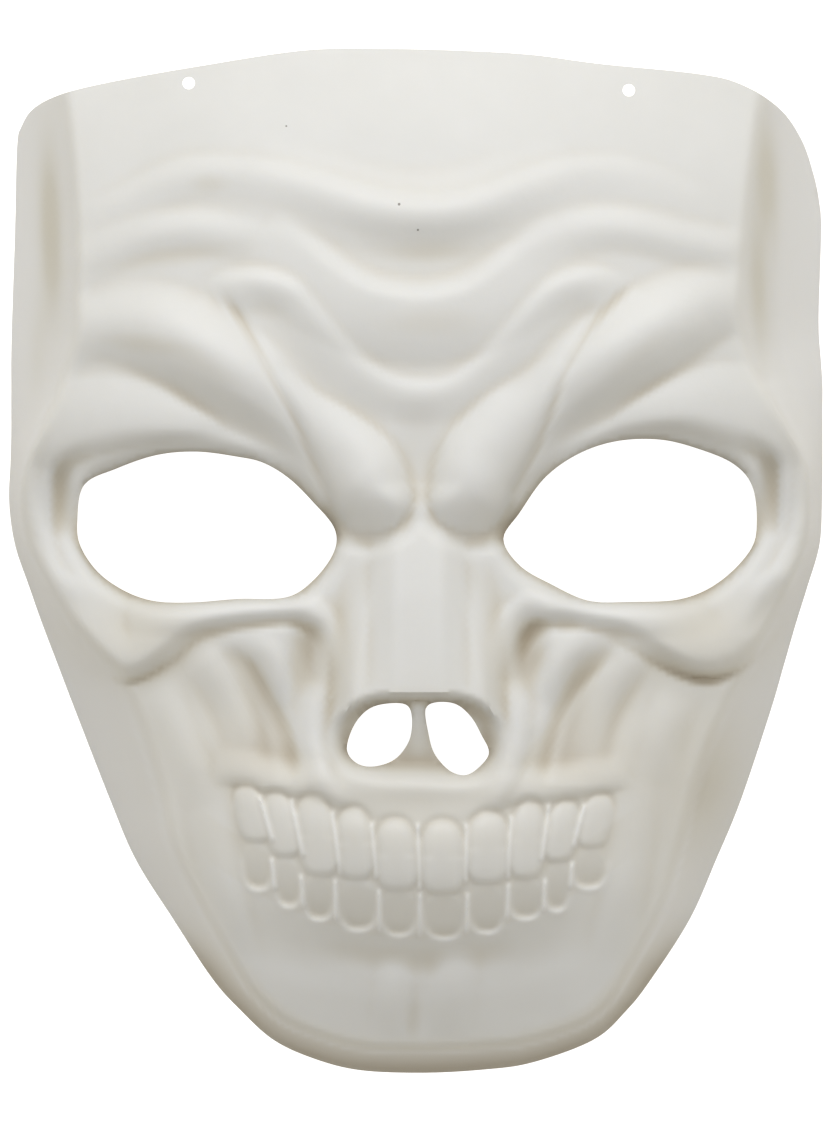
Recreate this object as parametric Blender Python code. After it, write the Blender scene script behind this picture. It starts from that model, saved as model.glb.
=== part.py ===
"""Skull mask of thin formed plastic, lying face up on its trimmed edge.

X runs to the right of the picture, Y to the forehead and Z out of the face. The origin is in the middle of
the mask on the table. All sizes below are in millimetres.
"""

import math
from collections import namedtuple

import bpy
import numpy as np
from mathutils import Vector
from mathutils.geometry import delaunay_2d_cdt

# Metres in a millimetre, and the middle of the outline
MM = 0.001
MIDDLE_X = -0.25

# Thickness of the sheet, width of its trimmed edge, and how near the table edge a trimmed point stands on it
SHEET = 1.0
RIM_WIDTH = 0.9
FLOOR_SNAP = 0.7

# Grid on which heights are worked out, its half sizes, and the softness of every edge in it
GRID_STEP = 0.5
GRID_HALF = (99.0, 124.0)
SOFTEN = 0.6

# Sizes of the facets along the rim, up the walls, over the face, round the holes and on the teeth
RIM_STEP = 4.0
WALL_STEP = 5.5
WALL_RINGS = (0.42, 0.75, 1.08)
FACE_STEP = 5.0
EYE_STEP = 3.2
NOSTRIL_STEP = 2.2
TOOTH_STEP = 2.3
STRAP_HOLE_SIDES = 10

# Where the small facets of the teeth lie: middle, half sizes and how much the row curves up at its ends
TOOTH_ZONE = (0.5, -72.5, 50.0, 17.5)
TOOTH_SMILE = 0.0045

# Rows of points round the eye openings and the nose hollow, and the least gap between such points
EYE_RINGS = (2.2, 4.8)
CAVITY_RINGS = (-0.6, 1.6)
GUIDE_GAP = 1.5
SHARP_ANGLE = math.radians(50.0)

# Plastic
PLASTIC_COLOUR = (0.74, 0.72, 0.66, 1.0)
PLASTIC_ROUGHNESS = 0.42

# Centre line of the face, from the top edge to the chin, before any fold
Profile = namedtuple("Profile", "y centre side_drop")
PROFILE = (
    Profile(126, 33.0, 15.0),
    Profile(112, 41.0, 15.0),
    Profile(98, 47.5, 15.5),
    Profile(84, 52.0, 16.0),
    Profile(68, 55.0, 16.0),
    Profile(50, 57.0, 16.0),
    Profile(30, 57.0, 17.0),
    Profile(10, 55.5, 20.0),
    Profile(-10, 55.5, 22.0),
    Profile(-30, 56.0, 25.0),
    Profile(-50, 56.5, 28.0),
    Profile(-70, 54.5, 30.0),
    Profile(-84, 50.5, 29.0),
    Profile(-98, 44.5, 26.0),
    Profile(-110, 38.0, 22.0),
    Profile(-122, 31.0, 19.0),
)

# Sides of the mask where the walls stand on the table, left and right of the middle
Side = namedtuple("Side", "y left right left_crease right_crease")
SIDES = (
    Side(128, -94.0, 95.0, 16.5, 20.0),
    Side(99, -94.1, 95.0, 16.5, 20.0),
    Side(78, -94.6, 95.1, 17.0, 20.5),
    Side(57, -95.3, 94.5, 16.5, 19.5),
    Side(48, -95.5, 95.0, 15.0, 18.0),
    Side(42, -95.5, 95.4, 13.5, 15.5),
    Side(36, -95.5, 95.4, 11.0, 12.0),
    Side(30, -95.5, 95.4, 8.0, 8.5),
    Side(23, -95.7, 95.4, 5.0, 5.0),
    Side(14, -96.0, 95.3, 4.0, 4.0),
    Side(4, -94.6, 94.7, 4.4, 4.4),
    Side(-6, -91.2, 91.8, 5.5, 5.5),
    Side(-14, -88.4, 89.3, 7.5, 7.5),
    Side(-24, -84.6, 86.4, 11.0, 9.5),
    Side(-35, -80.4, 83.2, 15.0, 12.5),
    Side(-56, -72.2, 76.2, 13.5, 13.0),
    Side(-70, -66.2, 70.4, 10.5, 10.5),
    Side(-84, -57.4, 64.2, 8.0, 8.5),
    Side(-98, -48.2, 55.2, 7.0, 7.0),
)

# Lower edge of the chin, from the left jaw to the right one
Chin = namedtuple("Chin", "x y crease")
CHIN = (
    Chin(-41.6, -105.4, 6.0),
    Chin(-34.0, -112.3, 6.5),
    Chin(-25.0, -116.6, 7.0),
    Chin(-14.0, -119.5, 7.0),
    Chin(0.7, -120.2, 7.0),
    Chin(15.0, -119.5, 7.0),
    Chin(27.0, -117.8, 6.5),
    Chin(41.6, -112.4, 6.0),
    Chin(49.4, -105.4, 5.5),
)

# Height of a side wall against its distance in from the table edge, both from 0 to 1 at the crease
WALL_RUN = (-2.0, 0.0, 0.25, 0.50, 0.75, 1.0, 1.6, 4.0)
WALL_RISE = (-1.6, 0.0, 0.17, 0.37, 0.67, 1.06, 1.95, 5.4)
WALL_HEIGHT = 44.0

# How widely the wall rounds over into the face, against the distance down the mask from its middle
WALL_BLEND_DOWN = (-120.0, 18.0, 48.0, 88.0, 106.0, 122.0)
WALL_BLEND = (4.5, 4.5, 9.0, 9.0, 6.0, 5.0)

# Trimmed top edge, from the left wall over the forehead to the right wall
TOP_EDGE = (
    (-94.1, 98.0), (-93.0, 102.6), (-90.2, 106.6), (-84.0, 109.6), (-72.0, 112.5),
    (-51.0, 116.2), (-26.0, 119.9), (-6.0, 120.2), (12.0, 119.7), (27.0, 118.8),
    (43.0, 116.7), (66.0, 114.4), (76.0, 112.0), (85.2, 106.4), (90.4, 99.3),
    (93.2, 91.5), (94.6, 85.0),
)

EYE_LEFT = (
    (-79.6, 9.5), (-78.0, 18.0), (-70.5, 21.8), (-61.0, 25.0), (-51.5, 25.8), (-42.0, 24.6),
    (-36.0, 23.2), (-30.0, 19.6), (-24.5, 14.2), (-19.4, 8.0), (-19.4, 2.5), (-24.0, -4.0),
    (-30.5, -8.2), (-42.0, -8.6), (-52.0, -9.4), (-61.0, -9.2), (-68.0, -7.0), (-74.5, -2.6),
    (-78.8, 3.6),
)
EYE_RIGHT = (
    (20.2, 5.4), (24.0, 11.5), (30.0, 19.8), (38.0, 25.4), (47.0, 28.3), (57.0, 28.6),
    (66.0, 26.4), (74.0, 23.0), (78.4, 18.0), (79.6, 10.0), (78.2, 3.0), (71.0, -4.5),
    (62.0, -8.6), (50.0, -9.3), (40.0, -9.0), (31.0, -5.0), (24.0, -0.8),
)
NOSTRIL_LEFT = (
    (-16.4, -43.6), (-14.6, -38.0), (-11.0, -34.2), (-6.0, -33.0), (-2.2, -33.6), (-1.2, -37.0),
    (-2.0, -42.0), (-5.4, -46.2), (-10.5, -47.8), (-14.4, -46.8),
)
NOSTRIL_RIGHT = (
    (2.0, -34.4), (4.4, -32.8), (9.0, -33.2), (12.6, -36.2), (15.0, -40.4), (16.8, -44.6),
    (14.4, -48.0), (11.2, -49.8), (7.4, -48.6), (4.0, -44.6), (2.6, -39.6),
)

STRAP_HOLES = ((-53.5, 112.2), (49.6, 110.5))
STRAP_HOLE = 1.45

# Depth and width of the rolled edge round each eye opening
EYE_ROLL = 3.2
EYE_ROLL_REACH = 4.0

# A fold rises by the third number at each point of its path. Its flanks reach as far as above to the left of
# somebody walking the path, and as far as below to the right, times the fourth number where there is one.
# A flank of power 2 runs out softly, one of power 1 ends in a crease, and one below 1 rolls over like a
# rounded edge.
Fold = namedtuple("Fold", "name above below above_power below_power path")
FOLDS = (
    Fold("first forehead fold", 5.0, 8.0, 2.0, 2.0, (
        (-80, 79, 0.0), (-70, 83.5, 0.7), (-60, 89.0, 1.2), (-52, 91.6, 1.3), (-42, 91.4, 1.1),
        (-30, 89.6, 1.1), (-18, 86.2, 1.2), (-6, 83.2, 1.2), (6, 82.6, 1.2), (16, 84.6, 1.1),
        (26, 88.4, 1.1), (36, 91.2, 1.0), (46, 91.6, 0.8), (56, 89.0, 0.6), (64, 85.6, 0.4),
        (72, 83.0, 0.0))),
    Fold("swell of the first forehead fold", 11.0, 11.0, 2.0, 2.0, (
        (-42, 91, 0.0), (-26, 87.4, 1.0), (-12, 83.2, 2.4), (0, 81.6, 3.0), (11, 82.8, 2.6),
        (23, 86.6, 1.1), (38, 91, 0.0))),
    Fold("left end of the second forehead fold", 6.0, 6.5, 2.0, 2.0, (
        (-84, 67, 0.0), (-72, 73.6, 1.1), (-62, 77.2, 1.6), (-52, 78, 1.6), (-43, 76.8, 1.0),
        (-34, 75, 0.3), (-28, 73, 0.0))),
    Fold("right end of the second forehead fold", 6.0, 6.5, 2.0, 2.0, (
        (24, 73, 0.0), (33, 76.5, 0.8), (42, 78.4, 1.4), (52, 78, 1.6), (62, 75.6, 1.6),
        (71, 73.6, 1.4), (80, 72, 0.0))),
    Fold("middle of the second forehead fold", 6.0, 15.0, 2.0, 1.1, (
        (-36, 79, 0.0), (-27, 73.0, 1.4), (-19, 67.0, 2.2), (-11, 62.8, 2.8), (-3, 61.2, 3.0),
        (4, 61.2, 3.0), (11, 62.8, 2.8), (18, 66.6, 2.2), (25, 71.6, 1.3), (34, 78, 0.0))),
    Fold("third forehead fold", 4.5, 8.0, 2.0, 2.0, (
        (-48, 63, 0.2), (-43.5, 65.0, 1.6), (-37, 65.6, 2.2), (-31, 63.8, 1.9), (-26.5, 59.4, 1.3),
        (-19.5, 51.0, 1.2), (-12, 44.0, 1.4), (-5, 40.4, 1.6), (3, 39.6, 1.6), (9.5, 41.2, 1.5),
        (16, 46.0, 1.3), (22, 52.0, 1.2), (28, 59.0, 1.3), (33.5, 64.0, 1.8), (40, 66.0, 2.0),
        (48, 64.4, 0.3))),
    Fold("left brow", 12.0, 11.6, 2.0, 1.3, (
        (-89, 49, 0.0, 0.8), (-83, 53.2, 1.0, 0.75), (-76, 55.4, 2.3, 0.75), (-68, 56.0, 3.4, 0.9),
        (-60, 54.6, 5.2, 1.0), (-52, 51.0, 6.1, 1.0), (-45, 46.4, 6.1, 1.0), (-38, 41, 4.8, 1.0),
        (-31.6, 35, 2.6, 0.9), (-26, 28.5, 0.8, 0.8), (-22, 23, 0.0, 0.8))),
    Fold("right brow", 12.0, 11.6, 2.0, 1.3, (
        (22, 22, 0.0, 0.8), (27, 29.6, 0.8, 0.8), (32.6, 37, 2.6, 0.9), (38.6, 43.2, 4.8, 1.0),
        (45.6, 48.4, 6.1, 1.0), (53, 53.2, 6.1, 1.0), (60.6, 57.6, 5.2, 0.95), (68, 60.8, 3.4, 0.85),
        (75, 61.6, 1.9, 0.75), (81, 60.4, 0.7, 0.7), (87, 58, 0.0, 0.7))),
    Fold("left lobe between the brows", 9.6, 9.6, 0.85, 0.85, (
        (-32.5, 44.5, 0.0, 0.30), (-26.4, 37.4, 1.3, 0.45), (-20.4, 30.8, 3.2, 0.72),
        (-15.2, 24.8, 5.2, 0.94), (-12.0, 20.2, 6.6, 1.0), (-10.6, 15.8, 6.8, 1.0))),
    Fold("right lobe between the brows", 9.6, 9.6, 0.85, 0.85, (
        (12.4, 15.8, 6.8, 1.0), (13.4, 20.6, 6.6, 1.02), (16.4, 26.0, 5.2, 1.04),
        (22.0, 33.6, 3.2, 0.86), (27.6, 40.0, 1.3, 0.6), (34.5, 47.5, 0.0, 0.35))),
    Fold("left eyelid", 14.0, 5.2, 1.1, 0.9, (
        (-92, 25, 0.0, 0.7), (-86, 27.4, 1.4, 0.9), (-78, 29.8, 2.7, 1.0), (-70, 31.4, 3.1, 0.95),
        (-62, 31.8, 2.7, 0.75), (-54, 31.2, 1.5, 0.45), (-46, 30.0, 0.0, 0.25))),
    Fold("right eyelid", 14.0, 5.2, 1.1, 0.9, (
        (46, 31.5, 0.0, 0.25), (54, 33.6, 1.5, 0.45), (62, 34.6, 2.7, 0.72), (70, 33.8, 3.1, 0.98),
        (78, 31.4, 2.7, 1.0), (85, 28.2, 1.4, 0.9), (91, 25, 0.0, 0.7))),
    Fold("left outer eye pillar", 4.0, 4.5, 2.0, 2.0, (
        (-86.5, 36, 0.0), (-89.5, 30, 1.3), (-92.0, 24, 1.3), (-91.0, 16, 1.4), (-88.5, 6, 2.2),
        (-85, -3, 1.6), (-77, -9, 0.0))),
    Fold("right outer eye pillar", 4.0, 4.5, 2.0, 2.0, (
        (77, -9, 0.0), (85.5, -2.5, 1.6), (89.5, 6, 2.2), (91.2, 16, 1.4), (92.4, 24, 1.3),
        (89.0, 31, 1.3), (84.5, 38, 0.0))),
    Fold("left lower eye rim", 4.5, 4.2, 2.0, 0.85, (
        (-72, -10, 0.0), (-60, -12.6, 0.8), (-50, -11.9, 1.5), (-40, -10.6, 1.9), (-32, -9.9, 2.0),
        (-26, -10.6, 1.9), (-21.6, -14.4, 1.4), (-20.5, -20.5, 0.9), (-21, -27, 0.0))),
    Fold("right lower eye rim", 4.5, 4.2, 2.0, 0.85, (
        (20.5, -27, 0.0), (20.2, -20.5, 0.9), (21.6, -14.2, 1.4), (26, -10.2, 1.9), (32, -10.2, 2.0),
        (40, -11.2, 1.9), (48, -12.2, 1.5), (58, -12.8, 0.8), (70, -10.5, 0.0))),
    Fold("left cheekbone", 14.0, 5.2, 2.0, 0.75, (
        (-94, 3, 0.4), (-88.5, -4.2, 2.4), (-82.0, -12.0, 3.8), (-75.2, -19.6, 4.8), (-68.0, -22.8, 5.0),
        (-61.6, -19.8, 4.3), (-54, -14.0, 2.7), (-45, -11.4, 1.2), (-34, -10.9, 0.0))),
    Fold("right cheekbone", 14.0, 5.6, 2.0, 0.75, (
        (36, -11.6, 0.0), (45, -12.2, 1.4), (53, -15.4, 3.2), (60, -19.6, 4.8), (67.5, -21.6, 5.4),
        (74.5, -19.4, 5.0), (81.0, -12.6, 4.0), (87.0, -4.9, 2.6), (93, 2, 0.5))),
    Fold("left first cheek fold", 5.0, 6.5, 2.0, 2.0, (
        (-52, -19, 0.2), (-47.5, -25.5, 1.4), (-43.5, -32, 1.8), (-40.5, -39, 1.5),
        (-39.5, -46, 0.5), (-39, -51, 0.0))),
    Fold("left second cheek fold", 5.5, 6.5, 2.0, 2.0, (
        (-61, -27, 0.0), (-58.5, -34, 1.0), (-55.5, -41, 1.2), (-52.5, -49, 0.9), (-51, -57, 0.0))),
    Fold("right first cheek fold", 6.5, 5.0, 2.0, 2.0, (
        (40.0, -51, 0.0), (40.5, -42, 1.2), (43.0, -34, 1.7), (47.5, -26.5, 1.8), (53, -19, 0.3))),
    Fold("right second cheek fold", 6.5, 5.5, 2.0, 2.0, (
        (57.0, -52, 0.0), (57.5, -43, 1.0), (59.5, -36, 1.2), (62.5, -29, 0.2))),
    Fold("right inner cheek fold", 5.5, 4.0, 2.0, 2.0, (
        (30.0, -33, 0.0), (32.0, -27, 1.0), (36.5, -20.5, 1.4), (42.0, -17.5, 0.2))),
    Fold("left inner cheek fold", 4.0, 5.5, 2.0, 2.0, (
        (-41, -18.5, 0.2), (-35, -20.5, 1.0), (-32, -27, 0.9), (-30.5, -34, 0.0))),
    Fold("left side of the nose opening", 3.6, 5.0, 2.0, 2.0, (
        (-23, -28, 0.0), (-24.6, -34, 1.2), (-24.6, -41, 1.7), (-22.8, -47.5, 1.7),
        (-19.5, -54, 0.9), (-17, -58, 0.0))),
    Fold("right side of the nose opening", 5.0, 3.6, 2.0, 2.0, (
        (16.5, -58, 0.0), (19, -54, 0.9), (22.2, -47, 1.7), (23.8, -40, 1.7), (23.6, -33, 1.2),
        (22.4, -27, 0.0))),
    Fold("left corner of the mouth", 6.0, 7.0, 2.0, 2.0, (
        (-48.5, -50, 0.2), (-47.5, -64, 1.4), (-45.0, -78, 1.8), (-41, -93, 0.2))),
    Fold("right corner of the mouth", 7.0, 6.0, 2.0, 2.0, (
        (45.5, -94, 0.2), (48.5, -79, 1.8), (50.5, -65, 1.4), (51.0, -50, 0.2))),
    Fold("left mound of the chin", 5.5, 5.5, 2.0, 2.0, (
        (-5.6, -91, 0.0), (-5.4, -97, 0.9), (-6.0, -104, 0.8), (-7, -111, 0.0))),
    Fold("right mound of the chin", 6.5, 6.5, 2.0, 2.0, (
        (8.6, -89, 0.0), (8.8, -95, 1.1), (8.0, -103, 0.9), (8, -111, 0.0))),
    Fold("left jaw edge", 7.0, 3.0, 2.0, 2.0, (
        (-62, -62, 0.0), (-59.5, -72, 0.9), (-54.5, -81, 1.1), (-50, -89, 0.9), (-44, -97, 0.0))),
    Fold("left gum above the teeth", 6.5, 3.4, 2.0, 0.8, (
        (-48, -47.8, 0.0), (-43, -48.9, 1.2), (-37, -49.8, 1.6), (-31, -51.2, 1.6), (-25, -51.8, 1.6),
        (-19, -53.4, 1.3), (-13, -55.4, 0.8), (-7, -57, 0.3), (-2, -58, 0.0))),
    Fold("right gum above the teeth", 6.5, 3.4, 2.0, 0.8, (
        (3, -58, 0.0), (9, -57, 0.3), (15, -55.8, 0.8), (20, -54.0, 1.3), (26, -52.8, 1.6),
        (33, -52.4, 1.6), (39, -51.4, 1.6), (45, -50.4, 1.2), (50, -48.8, 0.0))),
)

# Grooves are folds that sink
GROOVES = (
    Fold("left crease beside the brow", 1.4, 1.4, 1.0, 1.0, (
        (-46.5, 65, 0.0), (-42, 58, -0.8), (-37.4, 50, -0.9), (-33.6, 42.5, -0.8), (-29.6, 36, -0.7),
        (-26.4, 29, -0.7), (-23.0, 21.5, -0.4), (-20, 14, 0.0))),
    Fold("right crease beside the brow", 1.4, 1.4, 1.0, 1.0, (
        (51.5, 66, 0.0), (45.6, 60.4, -0.8), (39.8, 53.4, -0.9), (34.6, 44.6, -0.8), (31.4, 36, -0.8),
        (28.6, 29, -0.7), (25.0, 21.5, -0.4), (21.6, 14, 0.0))),
    Fold("left line under the eye", 2.2, 2.2, 1.0, 1.0, (
        (-90, -4, 0.0), (-84.4, -10, -0.8), (-79, -17, -1.0), (-72.4, -24, -1.2), (-68.4, -27.4, -1.4),
        (-62.4, -24.6, -1.0), (-57, -20, -0.9), (-51.6, -16.8, -0.9), (-45, -15.0, -1.0),
        (-37, -13.9, -1.1), (-30, -13.5, -1.1), (-24.6, -15.4, -0.9), (-21.8, -20, -0.6),
        (-21.4, -27, 0.0))),
    Fold("right line under the eye", 2.6, 2.6, 1.0, 1.0, (
        (22.5, -27, 0.0), (23.4, -21.6, -0.6), (26, -17.2, -0.9), (30.4, -14.6, -1.1), (37, -14.0, -1.1),
        (44, -15.2, -1.0), (50, -17.4, -0.9), (55, -20.6, -1.2), (60.4, -24.4, -1.9), (67, -26.8, -2.0),
        (73.4, -25.4, -1.4), (80, -20, -1.0), (84.6, -14, -1.1), (87.4, -8, -1.2), (90, -2, 0.0))),
    Fold("right end of the cheekbone", 5.0, 4.0, 2.0, 2.0, (
        (78, -18, 0.0), (81.6, -13.6, -1.6), (84.6, -9.4, -1.6), (87, -4, 0.0))),
    Fold("right jaw crease", 2.4, 2.4, 1.0, 1.0, (
        (70.5, -36, 0.0), (69.0, -43, -0.8), (66.6, -52, -0.9), (64, -61, -0.8), (60.4, -70, -0.5),
        (56, -80, 0.0))),
    Fold("dent under the middle teeth", 8.0, 6.0, 2.0, 2.0, (
        (-24, -88, 0.0), (-14, -90.4, -0.8), (0, -92.4, -0.9), (14, -91.0, -0.8), (24, -88.4, 0.0))),
    Fold("cleft of the chin", 3.4, 3.4, 2.0, 2.0, (
        (0, -97, 0.0), (-0.6, -102, -0.3), (-1.0, -108, -0.6), (-1.2, -115, 0.0))),
    Fold("left sunken cheek", 16.0, 13.0, 2.0, 2.0, (
        (-48, -22, 0.0), (-42, -30, -2.2), (-37, -38, -2.8), (-34, -45, -1.8), (-33, -52, 0.0))),
    Fold("right sunken cheek", 13.0, 16.0, 2.0, 2.0, (
        (49, -22, 0.0), (43.5, -30, -2.2), (39, -38, -2.8), (36, -45, -1.8), (35, -52, 0.0))),
    Fold("left cheek crease", 2.4, 4.0, 2.0, 2.0, (
        (-46, -19, 0.0), (-40, -23, -0.8), (-36, -28.5, -1.1), (-32.5, -35.5, -1.1),
        (-30, -42, -0.9), (-29, -50, -0.6), (-29.5, -56, 0.0))),
    Fold("right cheek crease", 4.0, 2.4, 2.0, 2.0, (
        (30, -56, 0.0), (29.5, -50, -0.7), (31.0, -42, -1.0), (34, -34, -1.1),
        (39, -27, -1.0), (47, -20, 0.0))),
    Fold("left inner eye hollow", 4.5, 6.0, 2.0, 2.0, (
        (-19, 3, 0.0), (-22.0, 10, -1.2), (-27.0, 19, -1.8), (-33, 26.5, -1.9), (-41, 32.6, -1.5),
        (-50, 37.5, -0.8), (-60, 42, 0.0))),
    Fold("right inner eye hollow", 6.0, 4.5, 2.0, 2.0, (
        (19.5, 2, 0.0), (22.6, 9, -1.2), (27.4, 19, -1.8), (34, 28.0, -1.9), (42, 34.6, -1.5),
        (51, 40.6, -0.8), (60, 45, 0.0))),
    Fold("hollow above the nose", 7.5, 7.5, 2.0, 2.0, (
        (0.4, 38, 0.0), (0.4, 34, -0.5), (0.4, 28, -1.0), (0.4, 23, -0.9), (0.4, 18, 0.0))),
    Fold("hollow at the foot of the left lobe", 12.0, 5.0, 2.0, 2.0, (
        (-24, 13, 0.0), (-18.4, 8.0, -2.6), (-11, 6.2, -3.0), (-4, 9, -1.6), (-1, 13, 0.0))),
    Fold("hollow at the foot of the right lobe", 12.0, 5.0, 2.0, 2.0, (
        (2.4, 13, 0.0), (5.6, 9.4, -1.6), (13, 6.2, -3.0), (19.4, 8.0, -2.6), (24, 14, 0.0))),
    Fold("left hollow beside the nose", 5.5, 6.5, 2.0, 2.0, (
        (-25.0, -13, 0.0), (-25.6, -18, -2.0), (-26.4, -25, -2.2), (-27.6, -33, -1.2), (-29, -41, 0.0))),
    Fold("right hollow beside the nose", 6.5, 5.5, 2.0, 2.0, (
        (24.0, -7, 0.0), (25.6, -13, -1.8), (26.2, -20, -2.4), (26.6, -27, -1.8), (28.0, -38, 0.0))),
    Fold("left hollow beside the eye", 4.6, 3.2, 2.0, 1.0, (
        (-75, 25, 0.0), (-80.0, 23.2, -2.0), (-82.8, 20.4, -4.0), (-83.2, 15, -3.8), (-82.9, 9.5, -2.6),
        (-82, 5, -0.8), (-81, 1, 0.0))),
    Fold("right hollow beside the eye", 3.2, 4.6, 1.0, 2.0, (
        (75, 27.5, 0.0), (79.6, 25.4, -2.0), (82.2, 22.4, -4.2), (82.6, 16, -4.0), (82.4, 9.5, -2.6),
        (81.8, 5, -0.8), (81, 1, 0.0))),
    Fold("upper lip hollow", 5.0, 6.0, 2.0, 2.0, (
        (-30, -47, 0.0), (-24, -53, 0.0), (-12, -56.5, -0.5), (0, -57.0, -0.4), (12, -56.5, -0.5),
        (24, -53, 0.0), (30, -47, 0.0))),
    Fold("hollow under the lower lip", 8.0, 9.0, 2.0, 2.0, (
        (-42, -84, 0.0), (-24, -91, -1.0), (0, -94, -1.2), (24, -91, -1.0), (42, -84, 0.0))),
)

# Ridges that run from the face over its crease on to the side walls
RIDGES = (
    Fold("left temple ridge", 2.3, 1.8, 1.6, 0.9, (
        (-82.6, 48, 0.0), (-84.2, 42.5, 0.7), (-86.8, 36, 1.3), (-90.6, 29.6, 1.6), (-93.2, 25, 1.2),
        (-94.8, 20, 0.0))),
    Fold("right temple ridge", 1.8, 2.3, 0.9, 1.6, (
        (94.2, 16, 0.0), (93.2, 23, 1.0), (91.2, 30.4, 1.6), (87.8, 36.4, 1.3), (85.0, 42, 0.7),
        (83.2, 48, 0.0))),
    Fold("left streak down the wall", 2.0, 2.0, 2.0, 2.0, (
        (-86.0, 96, 0.0), (-86.4, 84, 0.4), (-85.6, 70, 0.4), (-86.6, 56, 0.0))),
    Fold("right streak down the wall", 2.0, 2.0, 2.0, 2.0, (
        (84.0, 56, 0.0), (82.6, 70, 0.4), (83.6, 84, 0.4), (82.8, 98, 0.0))),
)

# Nose: height above the face, half widths of its top and of its foot, and the height of its middle strip
Nose = namedtuple("Nose", "y rise top foot strip")
NOSE = (
    Nose(19, 0.0, 3.0, 12.0, 0.0),
    Nose(12, 1.0, 5.0, 15.0, 1.6),
    Nose(3, 2.0, 7.0, 16.5, 3.2),
    Nose(-6, 2.9, 10.0, 18.0, 4.0),
    Nose(-15, 4.2, 12.5, 19.5, 3.7),
    Nose(-23, 5.6, 14.0, 20.5, 2.9),
    Nose(-31, 6.8, 14.5, 20.5, 2.1),
    Nose(-38, 6.6, 14.5, 20.5, 1.4),
    Nose(-46, 4.0, 12.0, 20.0, 0.6),
    Nose(-53, 1.4, 9.0, 19.0, 0.0),
    Nose(-59, 0.0, 8.0, 18.0, 0.0),
    Nose(-66, 0.0, 8.0, 18.0, 0.0),
)
NOSE_MIDDLE = 0.3
STRIP_HALF = 5.2
STRIP_FOOT = 11.4

# The tip of the nose: its line, how far it droops at the sides, and how much of the nose goes on below it
NOSE_TIP_Y = -31.5
NOSE_TIP_DROOP = 2.5
NOSE_TIP_HALF = 15.0
NOSE_TIP_WIDTH = 1.0
NOSE_BELOW_TIP = 0.35

# The hollow of the nose under its tip, with the septum between the two openings
CAVITY = (
    (-9.0, -31.3), (-14.0, -32.6), (-18.0, -36.0), (-20.6, -41.0), (-20.0, -46.5), (-15.6, -50.6),
    (-8.0, -52.6), (1.0, -53.0), (9.0, -53.4), (15.6, -52.0), (20.0, -47.5), (20.8, -41.5),
    (18.0, -35.4), (13.6, -32.2), (7.0, -31.0), (0.0, -30.9), (-5.0, -31.0),
)
CAVITY_TOP_Y = -30.0
CAVITY_LOW_Y = -49.0
CAVITY_TOP_SLOPE = 2.0
CAVITY_LOW_SLOPE = 7.4
CAVITY_TOP_DEPTH = 2.0
CAVITY_LOW_DEPTH = 5.4
SEPTUM_RISE = 2.6
SEPTUM_HALF = 3.2
SEPTUM_TOP_Y = -32.0

# Mouth: the bulge that carries the teeth
MOUTH_CENTRE = (0.5, -70.0)
MOUTH_HALF = (54.0, 34.0)
MOUTH_RISE = 4.2

# Teeth: left and right edge, top and bottom, and how far the top leans to the right of the bottom
Tooth = namedtuple("Tooth", "left right top bottom lean rise")
UPPER_TEETH = (
    Tooth(-42.6, -34.9, -52.4, -65.4, -2.9, 1.3),
    Tooth(-35.7, -27.9, -54.0, -68.9, -2.6, 1.5),
    Tooth(-28.2, -18.7, -54.8, -73.3, -2.4, 1.7),
    Tooth(-19.0, -10.2, -57.6, -74.1, -1.0, 1.8),
    Tooth(-9.9, 0.2, -60.2, -76.7, -0.8, 1.9),
    Tooth(0.6, 11.4, -60.6, -77.4, -0.2, 2.0),
    Tooth(11.5, 21.6, -58.6, -75.1, 0.4, 1.9),
    Tooth(21.6, 30.0, -56.1, -74.1, 1.0, 1.7),
    Tooth(30.0, 37.8, -56.0, -70.0, 2.2, 1.5),
    Tooth(37.9, 45.6, -54.4, -66.8, 2.4, 1.2),
)
LOWER_TEETH = (
    Tooth(-40.9, -33.8, -65.2, -76.8, -0.8, 1.3),
    Tooth(-33.4, -27.1, -68.6, -80.8, -0.8, 1.5),
    Tooth(-26.6, -19.4, -72.6, -83.8, -0.4, 1.8),
    Tooth(-18.6, -9.0, -73.6, -86.4, -0.2, 2.0),
    Tooth(-8.6, 0.2, -76.0, -87.6, 0.0, 2.0),
    Tooth(1.2, 11.5, -76.8, -88.3, 0.0, 2.0),
    Tooth(11.9, 20.9, -74.6, -87.0, 0.3, 2.0),
    Tooth(21.5, 29.6, -73.6, -83.6, 0.4, 1.7),
    Tooth(29.9, 35.8, -69.6, -81.8, 0.4, 1.5),
    Tooth(36.3, 44.6, -66.4, -76.4, 0.6, 1.3),
)


# How round the teeth are drawn: 2 is an ellipse and larger numbers are squarer
UPPER_TOOTH_ROUND = 2.4
LOWER_TOOTH_ROUND = 2.5

# Half width of the face and how quickly its sides fall away
FACE_HALF = 82.0
FACE_FALL = 2.3


def smooth_step(value):
    """From 0 to 1 without a kink at either end."""
    value = np.clip(value, 0.0, 1.0)
    return value * value * (3.0 - 2.0 * value)


def smooth_low(first, second, blend):
    """The lower of two heights, rounded over a width where they meet."""
    mix = np.clip(0.5 + 0.5 * (second - first) / blend, 0.0, 1.0)
    return second + (first - second) * mix - blend * mix * (1.0 - mix)


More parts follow.
